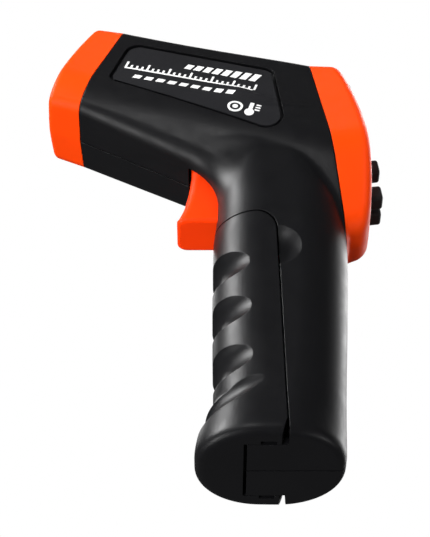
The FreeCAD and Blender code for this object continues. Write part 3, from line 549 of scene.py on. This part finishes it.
BLACK = (0.0045, 0.0045, 0.0052)
ORANGE = (0.93, 0.058, 0.002)
M_BLACK = material("moulded_black", BLACK, 0.40, edge=0.30, grain=3400, grain_strength=0.30,
                   grain_depth=0.00004, sockets={"Specular IOR Level": 0.38})
M_PANEL = material("panel_black", (0.011, 0.011, 0.0125), 0.55, edge=0.15, grain=2200, grain_strength=0.4,
                   sockets={"Specular IOR Level": 0.27})
M_ORANGE = material("moulded_orange", ORANGE, 0.42, edge=0.30, spread=0.03, grain_strength=0.2,
                    sockets={"Specular IOR Level": 0.13})
M_TRIGGER = material("trigger_orange_plastic", (0.95, 0.045, 0.002), 0.38, edge=0.45, spread=0.03,
                     sockets={"Specular IOR Level": 0.22})
M_RUBBER = material("key_rubber", (0.012, 0.012, 0.013), 0.55, edge=0.2, grain=1500, grain_strength=0.25)
M_BARREL = material("barrel_black", (0.010, 0.010, 0.010), 0.60, grain=1500, grain_strength=0.35)
M_PRINT = material("white_print", (0.80, 0.80, 0.79), 0.55, grain=3000)
M_LENS = material("milky_lens", (0.62, 0.64, 0.63), 0.28,
                  sockets={"Transmission Weight": 0.35, "IOR": 1.5})
M_STEEL = material("zinc_steel", (0.55, 0.55, 0.56), 0.32, 1.0, grain=900)
M_CHROME = material("nickel_can", (0.72, 0.71, 0.69), 0.16, 1.0)
M_BRASS = material("brass", (0.78, 0.56, 0.26), 0.25, 1.0)
M_BOARD = material("circuit_board", (0.012, 0.12, 0.045), 0.30, mottle=500)
M_CHIP = material("chip_black", (0.02, 0.02, 0.021), 0.45)
M_WHITE = material("white_plastic", (0.72, 0.72, 0.70), 0.45)
M_CELL = material("battery_jacket", (0.05, 0.055, 0.065), 0.28, 0.3)
M_FOAM = material("grey_foam", (0.09, 0.09, 0.09), 0.9, grain=700, grain_strength=0.8, grain_depth=0.0003)
M_RED = material("red_insulation", (0.55, 0.012, 0.01), 0.35)
M_LEAD = material("black_insulation", (0.013, 0.013, 0.014), 0.35)
M_LCD = material("lcd_glass", (0.20, 0.23, 0.19), 0.20, mottle=20)
M_PANE = material("window_plastic", (0.42, 0.45, 0.46), 0.05,
                  sockets={"Transmission Weight": 0.9, "IOR": 1.49})
M_LASER = material("laser_window", (0.30, 0.04, 0.05), 0.06, sockets={"Transmission Weight": 0.7})


def dress(piece, body, cad_nodes, paint, sharp=30.0):
    """Scales a finished piece to metres, gives it its body, shading and material, and hides the CAD nodes
    it replaces.
    """
    piece.data.transform(Matrix.Scale(MM, 4))
    piece.data.materials.clear()
    piece.data.materials.append(paint)
    piece.data.shade_smooth()
    piece.data.set_sharp_from_angle(angle=math.radians(sharp))
    weigh = piece.modifiers.new("normals", "WEIGHTED_NORMAL")
    weigh.keep_sharp = True
    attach(piece, body)
    if cad_nodes:
        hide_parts(*cad_nodes)
    return piece


# ---------------------------------------------------------------- outer form
def level_solid(name, field, level):
    """Closed mesh of the field at a level, its faces turned outwards."""
    made = new_object(name, mesh_from(name, *surface(field, level)))
    bm = bmesh.new()
    bm.from_mesh(made.data)
    if bm.calc_volume(signed=True) < 0:
        made.data.flip_normals()
    bm.free()
    return made


WALL, DOOR_WALL = 2.4, 3.4
form = Field(FINE, (-40.5, -24.0, -2.2), (73.5, 24.0, 168.0))
rough = Field(COARSE, (-40.5, -24.2, -3.3), (73.5, 24.2, 168.0))
solid = level_solid("solid", form, 0.0)
hollow = level_solid("hollow", rough, -WALL)
shell = carve(clone(solid, "shell"), [hollow], keep=True)

# ---------------------------------------------------------------- cutting tools
# The width of the seams round the head, and of the gap all round the battery door.
SEAM, DOOR_GAP = 0.26, 0.5
DOOR_TOP, SEAM_LOW, SEAM_HIGH = 80.2, -5.1, -3.0


def seam_at(z):
    """Place of the straight line along which the battery door meets the handset."""
    return SEAM_LOW + (SEAM_HIGH - SEAM_LOW) * z / DOOR_TOP


def door_region(name, gap):
    """The space in front of the door's long seam and below its top, drawn in by a gap."""
    top = DOOR_TOP - gap
    corners = [(seam_at(0) + gap, -6, 0), (FAR, -6, 0), (FAR, top, 0), (seam_at(top) + gap, top, 7.0)]
    return prism(name, corners, -FAR, FAR, SIDE, steps=14)


def beyond(name, frame_matrix, gap):
    """All the space past a cross-plane."""
    return block(name, (-FAR, -60, gap), (FAR, 140, 70), frame_matrix)


# The label's outline in the side view: (x, z, corner radius).
PANEL = [(50.6, 135.5, 3.2), (44.1, 157.8, 5.5), (-3.5, 145.1, 4.0), (-6.9, 109.2, 5.5)]


def shrink(corners, distance):
    """The same outline moved inwards."""
    moved = []
    for i, (x, y, r) in enumerate(corners):
        here = Vector((x, y))
        arrive = (here - Vector(corners[i - 1][:2])).normalized()
        leave = (Vector(corners[(i + 1) % len(corners)][:2]) - here).normalized()
        bisector = (Vector((-arrive.y, arrive.x)) + Vector((-leave.y, leave.x))).normalized()
        reach = distance / bisector.dot(Vector((-arrive.y, arrive.x)))
        spot = here + bisector * reach
        moved.append((spot.x, spot.y, max(r - distance, 0.3)))
    return moved


def groove(name, height, drop, tube=6.5, front_reach=30.7, tuck=-0.4):
    """A round tool bent about the grip's front; towards its sides it drops and draws in by a tuck."""
    centre, half_sweep, parts, around = -9.9, 78, 48, 56
    bm = bmesh.new()
    rings = []
    for k in range(parts + 1):
        angle = math.radians(-half_sweep + 2 * half_sweep * k / parts)
        aside = (math.sin(angle) / 0.773) ** 2
        reach = front_reach - tuck * aside
        spot = Vector((centre + reach * math.cos(angle), reach * math.sin(angle), height - drop * aside))
        out = Vector((math.cos(angle), math.sin(angle), 0))
        ring = []
        for m in range(around):
            turn = 2 * math.pi * m / around
            up = Vector((0, 0, tube * math.sin(turn)))
            ring.append(bm.verts.new(spot + out * tube * math.cos(turn) + up))
        rings.append(ring)
    for one, two in zip(rings, rings[1:]):
        for m in range(around):
            n = (m + 1) % around
            bm.faces.new((one[m], one[n], two[n], two[m]))
    bm.faces.new(rings[0])
    bm.faces.new(rings[-1][::-1])
    return from_bmesh(name, bm)


def ball(name, centre, radius):
    """A closed sphere."""
    bm = bmesh.new()
    bmesh.ops.create_icosphere(bm, subdivisions=5, radius=radius, matrix=Matrix.Translation(centre))
    return from_bmesh(name, bm)


def across(x, z, y=0.0):
    """Frame whose z runs to the instrument's left."""
    return Matrix.Translation(Vector((x, y, z))) @ Matrix.Rotation(-math.pi / 2, 4, "X")


# Side-view places (x, z) of the door's hinge line and the trigger's pin.
HINGE, PIVOT = (0.7, 4.4), (20.5, 110.5)
TONGUE_HALF, TONGUE_FRONT = 14.0, 6.8
# Housing screws: x, z and the y where the head sits.
SCREWS = [(33.0, 118.5, -12.7), (-7.6, 141.0, -8.0), (-9.0, 93.0, -12.7), (-16.2, 52.0, -11.0),
          (-15.8, 13.0, -11.0)]

# ---------------------------------------------------------------- housing halves
# Depth of the label's face and of its recess under the skin, and the width of the groove round it.
LABEL_SINK, LABEL_FLOOR, LABEL_GROOVE = 0.35, 1.5, 1.1
deep = level_solid("deep", form, -LABEL_FLOOR)
flush = level_solid("flush", form, -LABEL_SINK)
housing = clone(shell, "housing")
ribs = [block("back_wall", (-10.2, -40, 3.0), (-8.6, 40, 64.0)),
        block("shelf", (-24, -40, 64.0), (-3.6, 40, 65.6))]
ribs += [rod(f"boss{i}", 4.3, -40, 40, across(x, z), 40) for i, (x, z, seat) in enumerate(SCREWS)]
for rib in ribs:
    carve(rib, [clone(solid, "limit")], "INTERSECT")
carve(housing, ribs, "UNION")
carve(housing, [door_region("door_space", 0.0)])
low_form = [block("tongue", (seam_at(0) - 3, -TONGUE_HALF, 0.0), (TONGUE_FRONT, TONGUE_HALF, 2.6))]
low_form += [side_block(f"ear{side}", side, (-2.4, 3.8), (11.4, 14.0), (1.0, 7.4)) for side in (-1, 1)]
carve(housing, low_form, "UNION")
SLOT = [(3.0, 84.4, 1), (45, 84.4, 0), (45, 100, 0), (24.2, 104.4, 0), (24.2, 109, 0), (3.0, 109, 0)]
SLOT_HALF = 8.35
slot_tool = prism("slot_tool", SLOT, -SLOT_HALF, SLOT_HALF, SIDE)
recess = prism("recess", PANEL, -FAR, FAR, SIDE, steps=12)
carve(recess, [clone(deep, "deep_copy")])
SCOOP_RADIUS, SCOOP_DEPTH, SCOOP_SKIN = 15.0, 2.0, 19.9
SCOOP_ASIDE = SCOOP_SKIN + SCOOP_RADIUS - SCOOP_DEPTH
scoops = [ball(f"scoop{side}", (-2.9, side * SCOOP_ASIDE, 66.6), SCOOP_RADIUS) for side in (-1, 1)]
HEAD_RADIUS, SHANK_RADIUS = 2.9, 1.5
sinks = []
for i, (x, z, seat) in enumerate(SCREWS):
    steps_in = [(0, -60), (HEAD_RADIUS, -60), (HEAD_RADIUS, seat),
                (SHANK_RADIUS, seat), (SHANK_RADIUS, 1), (0, 1)]
    sinks.append(turned(f"sink{i}", steps_in, across(x, z), 48))
hinge_hole = rod("hinge_hole", 1.55, -20, 20, across(*HINGE))
carve(housing, [beyond("rear_cut", REAR, -SEAM / 2), beyond("nose_cut", NOSE, -SEAM / 2), slot_tool, recess,
                *scoops, *sinks, hinge_hole])

# Half the gap between the halves, and the half width and depth of the lip behind it.
LINE, LIP_HALF, LIP_DEPTH = 0.25, 0.7, 1.4
lip = clone(housing, "seam_lip")
lip_form = level_solid("lip_form", rough, -LIP_DEPTH)
carve(lip, [lip_form, block("band", (-90, -LIP_HALF, -20), (120, LIP_HALF, 200))], "INTERSECT")
dress(lip, "handset", [], M_BLACK)
for side, name in ((1, "housing_left"), (-1, "housing_right")):
    half = clone(housing, name + "_shell")
    carve(half, [side_block("half_space", side, (-90, 120), (LINE, 60), (-20, 200))], "INTERSECT")
    dress(half, "handset", [name], M_BLACK)
discard([housing])

# ---------------------------------------------------------------- label plates and their print
for side, name in ((1, "label_left"), (-1, "label_right")):
    low, high = sorted((-side * 2.0, -side * FAR))
    plate = prism(name + "_plate", shrink(PANEL, LABEL_GROOVE), low, high, SIDE, steps=12)
    carve(plate, [clone(flush, "flush_copy")], "INTERSECT")
    carve(plate, [clone(deep, "deep_copy")])
    dress(plate, "handset", [name], M_PANEL)


def label_depth(xz):
    """Half width of the label's surface at side-view points."""
    low, high = np.full(len(xz), 4.0), np.full(len(xz), 23.5)
    for _ in range(30):
        mid = (low + high) / 2
        value, _slope = sample(form, np.stack([xz[:, 0], mid, xz[:, 1]], 1))
        high = np.where(value > -LABEL_SINK, mid, high)
        low = np.where(value > -LABEL_SINK, low, mid)
    return (low + high) / 2


PRINT_RISE, PRINT_ROOT = 0.09, 0.05
# Label coordinates start in the upper front corner and run along the label and down.
CORNER = Vector(PANEL[1][:2])
ALONG = (Vector(PANEL[2][:2]) - CORNER).normalized()
DOWN = Vector((-ALONG.y, ALONG.x))


def print_shapes():
    """Generic graphics in label coordinates (along, down): closed outlines in millimetres."""
    shapes = []
    slant = 0.28

    def bar(a0, a1, b0, b1, lean=slant):
        shapes.append([(a0, b1), (a1, b1), (a1 + lean * (b1 - b0), b0), (a0 + lean * (b1 - b0), b0)])

    def ring(a, b, radius, thick, parts=28):
        for k in range(parts):
            t0, t1 = 2 * math.pi * k / parts, 2 * math.pi * (k + 1) / parts
            shapes.append([(a + r * math.cos(t), b + r * math.sin(t)) for r, t in
                           ((radius, t0), (radius, t1), (radius - thick, t1), (radius - thick, t0))])

    for k in range(8):
        bar(21.2 + 3.1 * k, 23.4 + 3.1 * k, 6.4 - 0.26 * k, 9.2)
    for k in range(24):
        bar(2.6 + 1.8 * k, 4.4 + 1.8 * k, 14.3, 15.0, 0.0)
    for k in range(25):
        tall = 4.0 if k % 4 == 0 else 2.3
        bar(2.6 + 1.8 * k, 3.3 + 1.8 * k, 15.0 - tall, 14.4, 0.0)
    for k in range(9):
        bar(6.8 + 3.9 * k, 9.3 + 3.9 * k, 18.0, 19.9)
    ring(42.7, 25.4, 2.5, 0.75)
    ring(42.7, 25.4, 0.9, 0.9, 14)
    bar(47.0, 48.3, 22.3, 26.0, 0.0)
    ring(47.65, 26.9, 1.55, 1.55, 18)
    for k in range(3):
        bar(49.1, 50.7, 22.6 + 1.3 * k, 23.2 + 1.3 * k, 0.0)
    return shapes


SHAPES = [[CORNER + ALONG * a + DOWN * b for a, b in outline] for outline in print_shapes()]
for side, name in ((1, "print_left"), (-1, "print_right")):
    bm = bmesh.new()
    flat = np.array([(p.x, p.y) for outline in SHAPES for p in outline])
    depth = label_depth(flat)
    index = 0
    for outline in SHAPES:
        lower, upper = [], []
        for p in outline:
            y = depth[index]
            index += 1
            lower.append(bm.verts.new((p.x, side * (y - PRINT_ROOT), p.y)))
            upper.append(bm.verts.new((p.x, side * (y + PRINT_RISE), p.y)))
        bm.faces.new(lower)
        bm.faces.new(upper[::-1])
        for i in range(len(outline)):
            j = (i + 1) % len(outline)
            bm.faces.new((lower[i], upper[i], upper[j], lower[j]))
    dress(from_bmesh(name, bm), "handset", [], M_PRINT)

# ---------------------------------------------------------------- battery door
door = carve(clone(solid, "battery_door_shell"), [level_solid("door_hollow", rough, -DOOR_WALL)])
carve(door, [door_region("door_limit", DOOR_GAP)], "INTERSECT")
arms = []
for side in (-1, 1):
    arm = side_block(f"arm{side}", side, (-2.0, 3.6), (14.35, 18.8), (1.6, 7.4))
    arms.append(carve(arm, [clone(solid, "limit")], "INTERSECT"))
    low, high = sorted((side * 11.6, side * 18.0))
    arms.append(rod(f"stub{side}", 1.5, low, high, across(*HINGE)))
NOTCH_HALF, NOTCH_FRONT, SWING = TONGUE_HALF + 0.35, TONGUE_FRONT + 0.8, 8.3
carve(door, [block("notch", (-30, -NOTCH_HALF, -5), (NOTCH_FRONT, NOTCH_HALF, 3.4)),
             rod("swing", SWING, -NOTCH_HALF, NOTCH_HALF, across(*HINGE), 64)])
carve(door, arms, "UNION")
cuts = [prism("heel", [(-9, -3, 0), (-1.9, -3, 0), (-5.0, 6.6, 0), (-9, 6.6, 0)], -FAR, FAR, SIDE)]
cuts += [side_block(f"hinge_pocket{side}", side, (-1.6, 3.0), (13.8, 15.9), (-5, 1.4)) for side in (-1, 1)]
cuts += [groove("groove0", 62.7, 1.5), groove("groove1", 45.4, 0.7), groove("groove2", 27.5, 0.1),
         groove("flare_crease", 12.6, -4.9, 5.0, 33.5, 4.1)]
carve(door, cuts)
dress(door, "door_body", ["battery_door"], M_BLACK)

# ---------------------------------------------------------------- nose ring and optics
ring = clone(shell, "nose_bezel_shell")
carve(ring, [beyond("ahead", NOSE, SEAM / 2)], "INTERSECT")
MOUTH = [(0, -5), (10.5, -5), (10.5, 10.7), (11.0, 11.15), (11.9, 12.0), (12.4, 30), (0, 30)]
LASER_HOLE = [(0, -5), (2.2, -5), (2.2, 11.0), (2.6, 11.4), (3.4, 12.2), (3.4, 30), (0, 30)]
carve(ring, [turned("mouth", MOUTH, OPTICS, 96), turned("laser_hole", LASER_HOLE, LASER, 48)])
dress(ring, "handset", ["nose_bezel"], M_ORANGE)

GROOVES = 16
profile = [(0, -3.6), (10.4, -3.6), (10.4, -2.5)]
for k in range(GROOVES):
    r = 10.0 - 9.2 * k / GROOVES
    profile += [(r, -2.5), (r - 0.3, -2.72)]
lens = turned("fresnel_rings", profile + [(0, -2.4)], OPTICS, 96)
dress(lens, "handset", ["fresnel_lens"], M_LENS, 20)

# ---------------------------------------------------------------- rear bezel, window and keys
bezel = clone(shell, "rear_bezel_shell")
carve(bezel, [beyond("behind", REAR, SEAM / 2)], "INTERSECT")
WINDOW = REAR @ Matrix.Translation((0, 51.6, 12.35)) @ Matrix.Rotation(math.radians(-4.5), 4, "X")
PANE = [(11.6, -11.4, 2.2), (9.3, 11.4, 2.2), (-9.3, 11.4, 2.2), (-11.6, -11.4, 2.2)]
VIEW = [(9.4, -9.6, 1.2), (7.9, 9.6, 1.2), (-7.9, 9.6, 1.2), (-9.4, -9.6, 1.2)]
# Keys: place across and up the rear joint's plane, and how far the cap stands behind it.
KEYS = {"top": (0.0, 32.0, 16.5), "left": (-4.0, 18.0, 14.6), "right": (4.0, 18.0, 14.6)}
KEY_X, KEY_Y, KEY_EDGE = 3.1, 2.85, 0.85


def rounded_rect(cx, cy, hx, hy, r):
    """Corners of a rectangle about a centre, counter-clockwise."""
    return [(cx + hx, cy - hy, r), (cx + hx, cy + hy, r), (cx - hx, cy + hy, r), (cx - hx, cy - hy, r)]


openings = [prism("seat", shrink(PANE, -0.12), -0.55, 9, WINDOW), prism("opening", VIEW, -8, 9, WINDOW)]
openings += [prism(f"hole_{k}", rounded_rect(x, y, KEY_X + 0.25, KEY_Y + 0.25, 1.6), 2, 30, REAR)
             for k, (x, y, end) in KEYS.items()]
openings += [prism(f"flange_room_{k}", rounded_rect(x, y, KEY_X + 0.9, KEY_Y + 0.9, 1.8), 2, 9.6, REAR)
             for k, (x, y, end) in KEYS.items()]
carve(bezel, openings)
dress(bezel, "handset", ["rear_bezel"], M_ORANGE)
pane = prism("window_pane", PANE, -0.53, 0.3, WINDOW, steps=10)
dress(pane, "handset", ["display_window"], M_PANE)


def stacked(name, layers, frame_matrix, steps=7):
    """A solid from outlines at rising heights, each given as (height, corners)."""
    bm = bmesh.new()
    rings = []
    for height, corners in layers:
        rings.append([bm.verts.new(frame_matrix @ Vector((p.x, p.y, height)))
                      for p in outline_points(corners, steps)])
    for one, two in zip(rings, rings[1:]):
        for k in range(len(one)):
            m = (k + 1) % len(one)
            bm.faces.new((one[k], one[m], two[m], two[k]))
    bm.faces.new(rings[0][::-1])
    bm.faces.new(rings[-1])
    return from_bmesh(name, bm)


for key, (x, y, end) in KEYS.items():
    layers = [(8.3, rounded_rect(x, y, KEY_X + 0.6, KEY_Y + 0.6, 1.6)),
              (9.3, rounded_rect(x, y, KEY_X + 0.6, KEY_Y + 0.6, 1.6)),
              (9.35, rounded_rect(x, y, KEY_X, KEY_Y, 1.4))]
    for k in range(9):
        turn = math.pi / 2 * k / 8
        inset = KEY_EDGE * (1 - math.cos(turn))
        layers.append((end - KEY_EDGE + KEY_EDGE * math.sin(turn),
                       rounded_rect(x, y, KEY_X - inset, KEY_Y - inset, 1.4 - inset * 0.6)))
    layers.append((end + 0.12, rounded_rect(x, y, KEY_X - 1.9, KEY_Y - 1.8, 0.7)))
    cap = stacked(f"key_{key}_cap", layers, REAR)
    dress(cap, f"key_{key}_body", [f"key_{key}"], M_RUBBER, 40)

# ---------------------------------------------------------------- trigger
# By height: front, back.
TRIGGER = [
    (85.0, 27.7, 10.7),
    (86.8, 27.15, 10.7),
    (91.0, 25.5, 11.0),
    (94.8, 24.6, 11.2),
    (98.7, 23.9, 11.8),
    (101.1, 23.6, 12.9),
    (104.6, 23.2, 14.8),
    (108.0, 23.4, 16.0),
    (111.5, 23.6, 17.2),
    (113.6, 22.4, 18.6),
]
TRIGGER_HALF, TRIGGER_EDGE, TRIGGER_LOW, TRIGGER_TOP = 8.0, 1.3, 85.0, 113.5
PIN_BORE = 1.35


def trigger_layer(height, at, inset=0.0):
    """The trigger's outline at one height, its size read from the table at another."""
    front, back = (float(v) for v in smooth_table(TRIGGER, np.array(at)))
    front, back, half = front - inset, back + inset, TRIGGER_HALF - inset
    return height, [(front, -half, 2.8), (front, half, 2.8), (back, half, 0.8), (back, -half, 0.8)]


layers = []
for k in range(10):
    turn = math.pi / 2 * k / 10
    height = TRIGGER_LOW + TRIGGER_EDGE * (1 - math.cos(turn))
    layers.append(trigger_layer(height, TRIGGER_LOW, TRIGGER_EDGE * (1 - math.sin(turn))))
start = TRIGGER_LOW + TRIGGER_EDGE + 0.05
for k in range(37):
    height = start + (TRIGGER_TOP - start) * k / 36
    layers.append(trigger_layer(height, height))
trigger = stacked("trigger_shell", layers, Matrix.Identity(4), 10)
carve(trigger, [rod("pin_bore", PIN_BORE, -12, 12, across(*PIVOT))])
dress(trigger, "trigger_body", ["trigger"], M_TRIGGER, 35)

discard([solid, hollow, shell, deep, flush])

# ---------------------------------------------------------------- CAD nodes that stay
PAINTS = {
    "lens_barrel": M_BARREL, "optics_holder": M_BARREL, "lens_retainer": M_BARREL, "thermopile": M_CHROME,
    "sensor_board": M_BOARD, "display_board": M_BOARD, "laser_module": M_BRASS, "laser_window": M_LASER,
    "lcd_panel": M_LCD, "backlight_panel": M_WHITE, "lcd_frame": M_WHITE, "key_switches": M_STEEL,
    "board_chips": M_CHIP, "buzzer": M_CHIP, "trigger_pin": M_STEEL, "trigger_spring": M_STEEL,
    "trigger_switch": M_CHIP, "switch_plunger": M_WHITE, "battery": M_CELL, "battery_terminals": M_STEEL,
    "battery_snap": M_CHIP, "battery_foam": M_FOAM, "battery_lead_red": M_RED, "battery_lead_black": M_LEAD,
    "sensor_cable": M_LEAD, "housing_screws": M_STEEL, "board_screws": M_STEEL,
}
for name, paint in PAINTS.items():
    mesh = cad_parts[name].data
    mesh.materials.clear()
    mesh.materials.append(paint)
for name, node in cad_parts.items():
    if not node.hide_render and name not in PAINTS:
        raise RuntimeError(f"{name} has no material")

# ---------------------------------------------------------------- floor, light and camera
# The floor lies far below, so that it only fills the background.
FLOOR_HALF, FLOOR_DROP = 6.0, 0.75
bm = bmesh.new()
bmesh.ops.create_grid(bm, x_segments=8, y_segments=8, size=FLOOR_HALF,
                      matrix=Matrix.Translation((0, 0, -FLOOR_DROP)))
floor = from_bmesh("floor", bm)
floor.data.materials.append(material("pale_floor", (0.86, 0.86, 0.86), 0.7, spread=0.01, grain_strength=0.0,
                                     sockets={"Emission Strength": 0.9}))
floor.visible_glossy = False
floor.visible_diffuse = False

world = bpy.data.worlds.new("studio")
scene.world = world
world.use_nodes = True
nodes, links = world.node_tree.nodes, world.node_tree.links
nodes.clear()
out = nodes.new("ShaderNodeOutputWorld")
ambient = nodes.new("ShaderNodeBackground")
ambient.inputs["Color"].default_value = (1, 1, 1, 1)
ambient.inputs["Strength"].default_value = 0.06
backdrop = nodes.new("ShaderNodeBackground")
backdrop.inputs["Color"].default_value = (1, 1, 1, 1)
backdrop.inputs["Strength"].default_value = 1.0
ray = nodes.new("ShaderNodeLightPath")
choose = nodes.new("ShaderNodeMixShader")
links.new(ray.outputs["Is Camera Ray"], choose.inputs["Fac"])
links.new(ambient.outputs["Background"], choose.inputs[1])
links.new(backdrop.outputs["Background"], choose.inputs[2])
links.new(choose.outputs["Shader"], out.inputs["Surface"])
scene.view_settings.view_transform = "Standard"
scene.view_settings.look = "None"
TARGET = Vector((0.0158, 0, 0.08))


def softbox(name, direction, distance, width, height, power):
    """A rectangular lamp that faces the object from a direction."""
    lamp = bpy.data.lights.new(name, "AREA")
    lamp.shape = "RECTANGLE"
    lamp.size, lamp.size_y = width, height
    lamp.energy = power
    lamp_object = bpy.data.objects.new(name, lamp)
    scene.collection.objects.link(lamp_object)
    way = Vector(direction).normalized()
    lamp_object.location = TARGET + way * distance
    lamp_object.rotation_mode = "QUATERNION"
    lamp_object.rotation_quaternion = way.to_track_quat("Z", "Y")
    return lamp_object


# Name, direction from the object, distance, width, height, power, seen in gloss.
for *lamp, glossy in [
        ("key", (0.84, 0.25, 0.46), 0.75, 0.26, 0.42, 6.2, True),
        ("flank", (0.30, 0.95, 0.0), 0.80, 0.16, 0.14, 0.85, True),
        ("back_high", (0.0, -0.60, 0.80), 1.0, 1.2, 0.6, 6.5, True),
        ("back_rear", (-0.62, -0.56, 0.55), 0.95, 0.5, 0.9, 5.0, True),
        ("front_low", (0.80, 0.10, -0.60), 0.80, 0.25, 0.25, 1.6, True),
        ("rear_low", (-0.80, 0.10, -0.60), 0.80, 0.25, 0.25, 0.5, True),
        ("front_fill", (0.45, 0.60, -0.66), 0.95, 0.6, 0.4, 10.0, False),
        ("rear_fill", (-0.65, 0.65, 0.10), 0.95, 0.5, 0.5, 3.0, False),
        ("over_fill", (-0.10, 0.45, 0.88), 0.95, 0.5, 0.5, 6.5, False)]:
    softbox(*lamp).visible_glossy = glossy

# A long lens that looks up at the left side from well below.
CAMERA_AT, LOOK_AT = Vector((0.0158, 0.4453, -0.26317)), Vector((0.0158, 0.0, 0.07237))
SENSOR, FOCAL_LENGTH = 36.0, 120.67
camera_data = bpy.data.cameras.new("camera")
camera_data.sensor_width = SENSOR
camera_data.lens = FOCAL_LENGTH
camera_data.clip_start, camera_data.clip_end = 0.01, 50
camera = bpy.data.objects.new("camera", camera_data)
scene.collection.objects.link(camera)
camera.location = CAMERA_AT
camera.rotation_mode = "QUATERNION"
camera.rotation_quaternion = (LOOK_AT - CAMERA_AT).to_track_quat("-Z", "Y")
scene.camera = camera
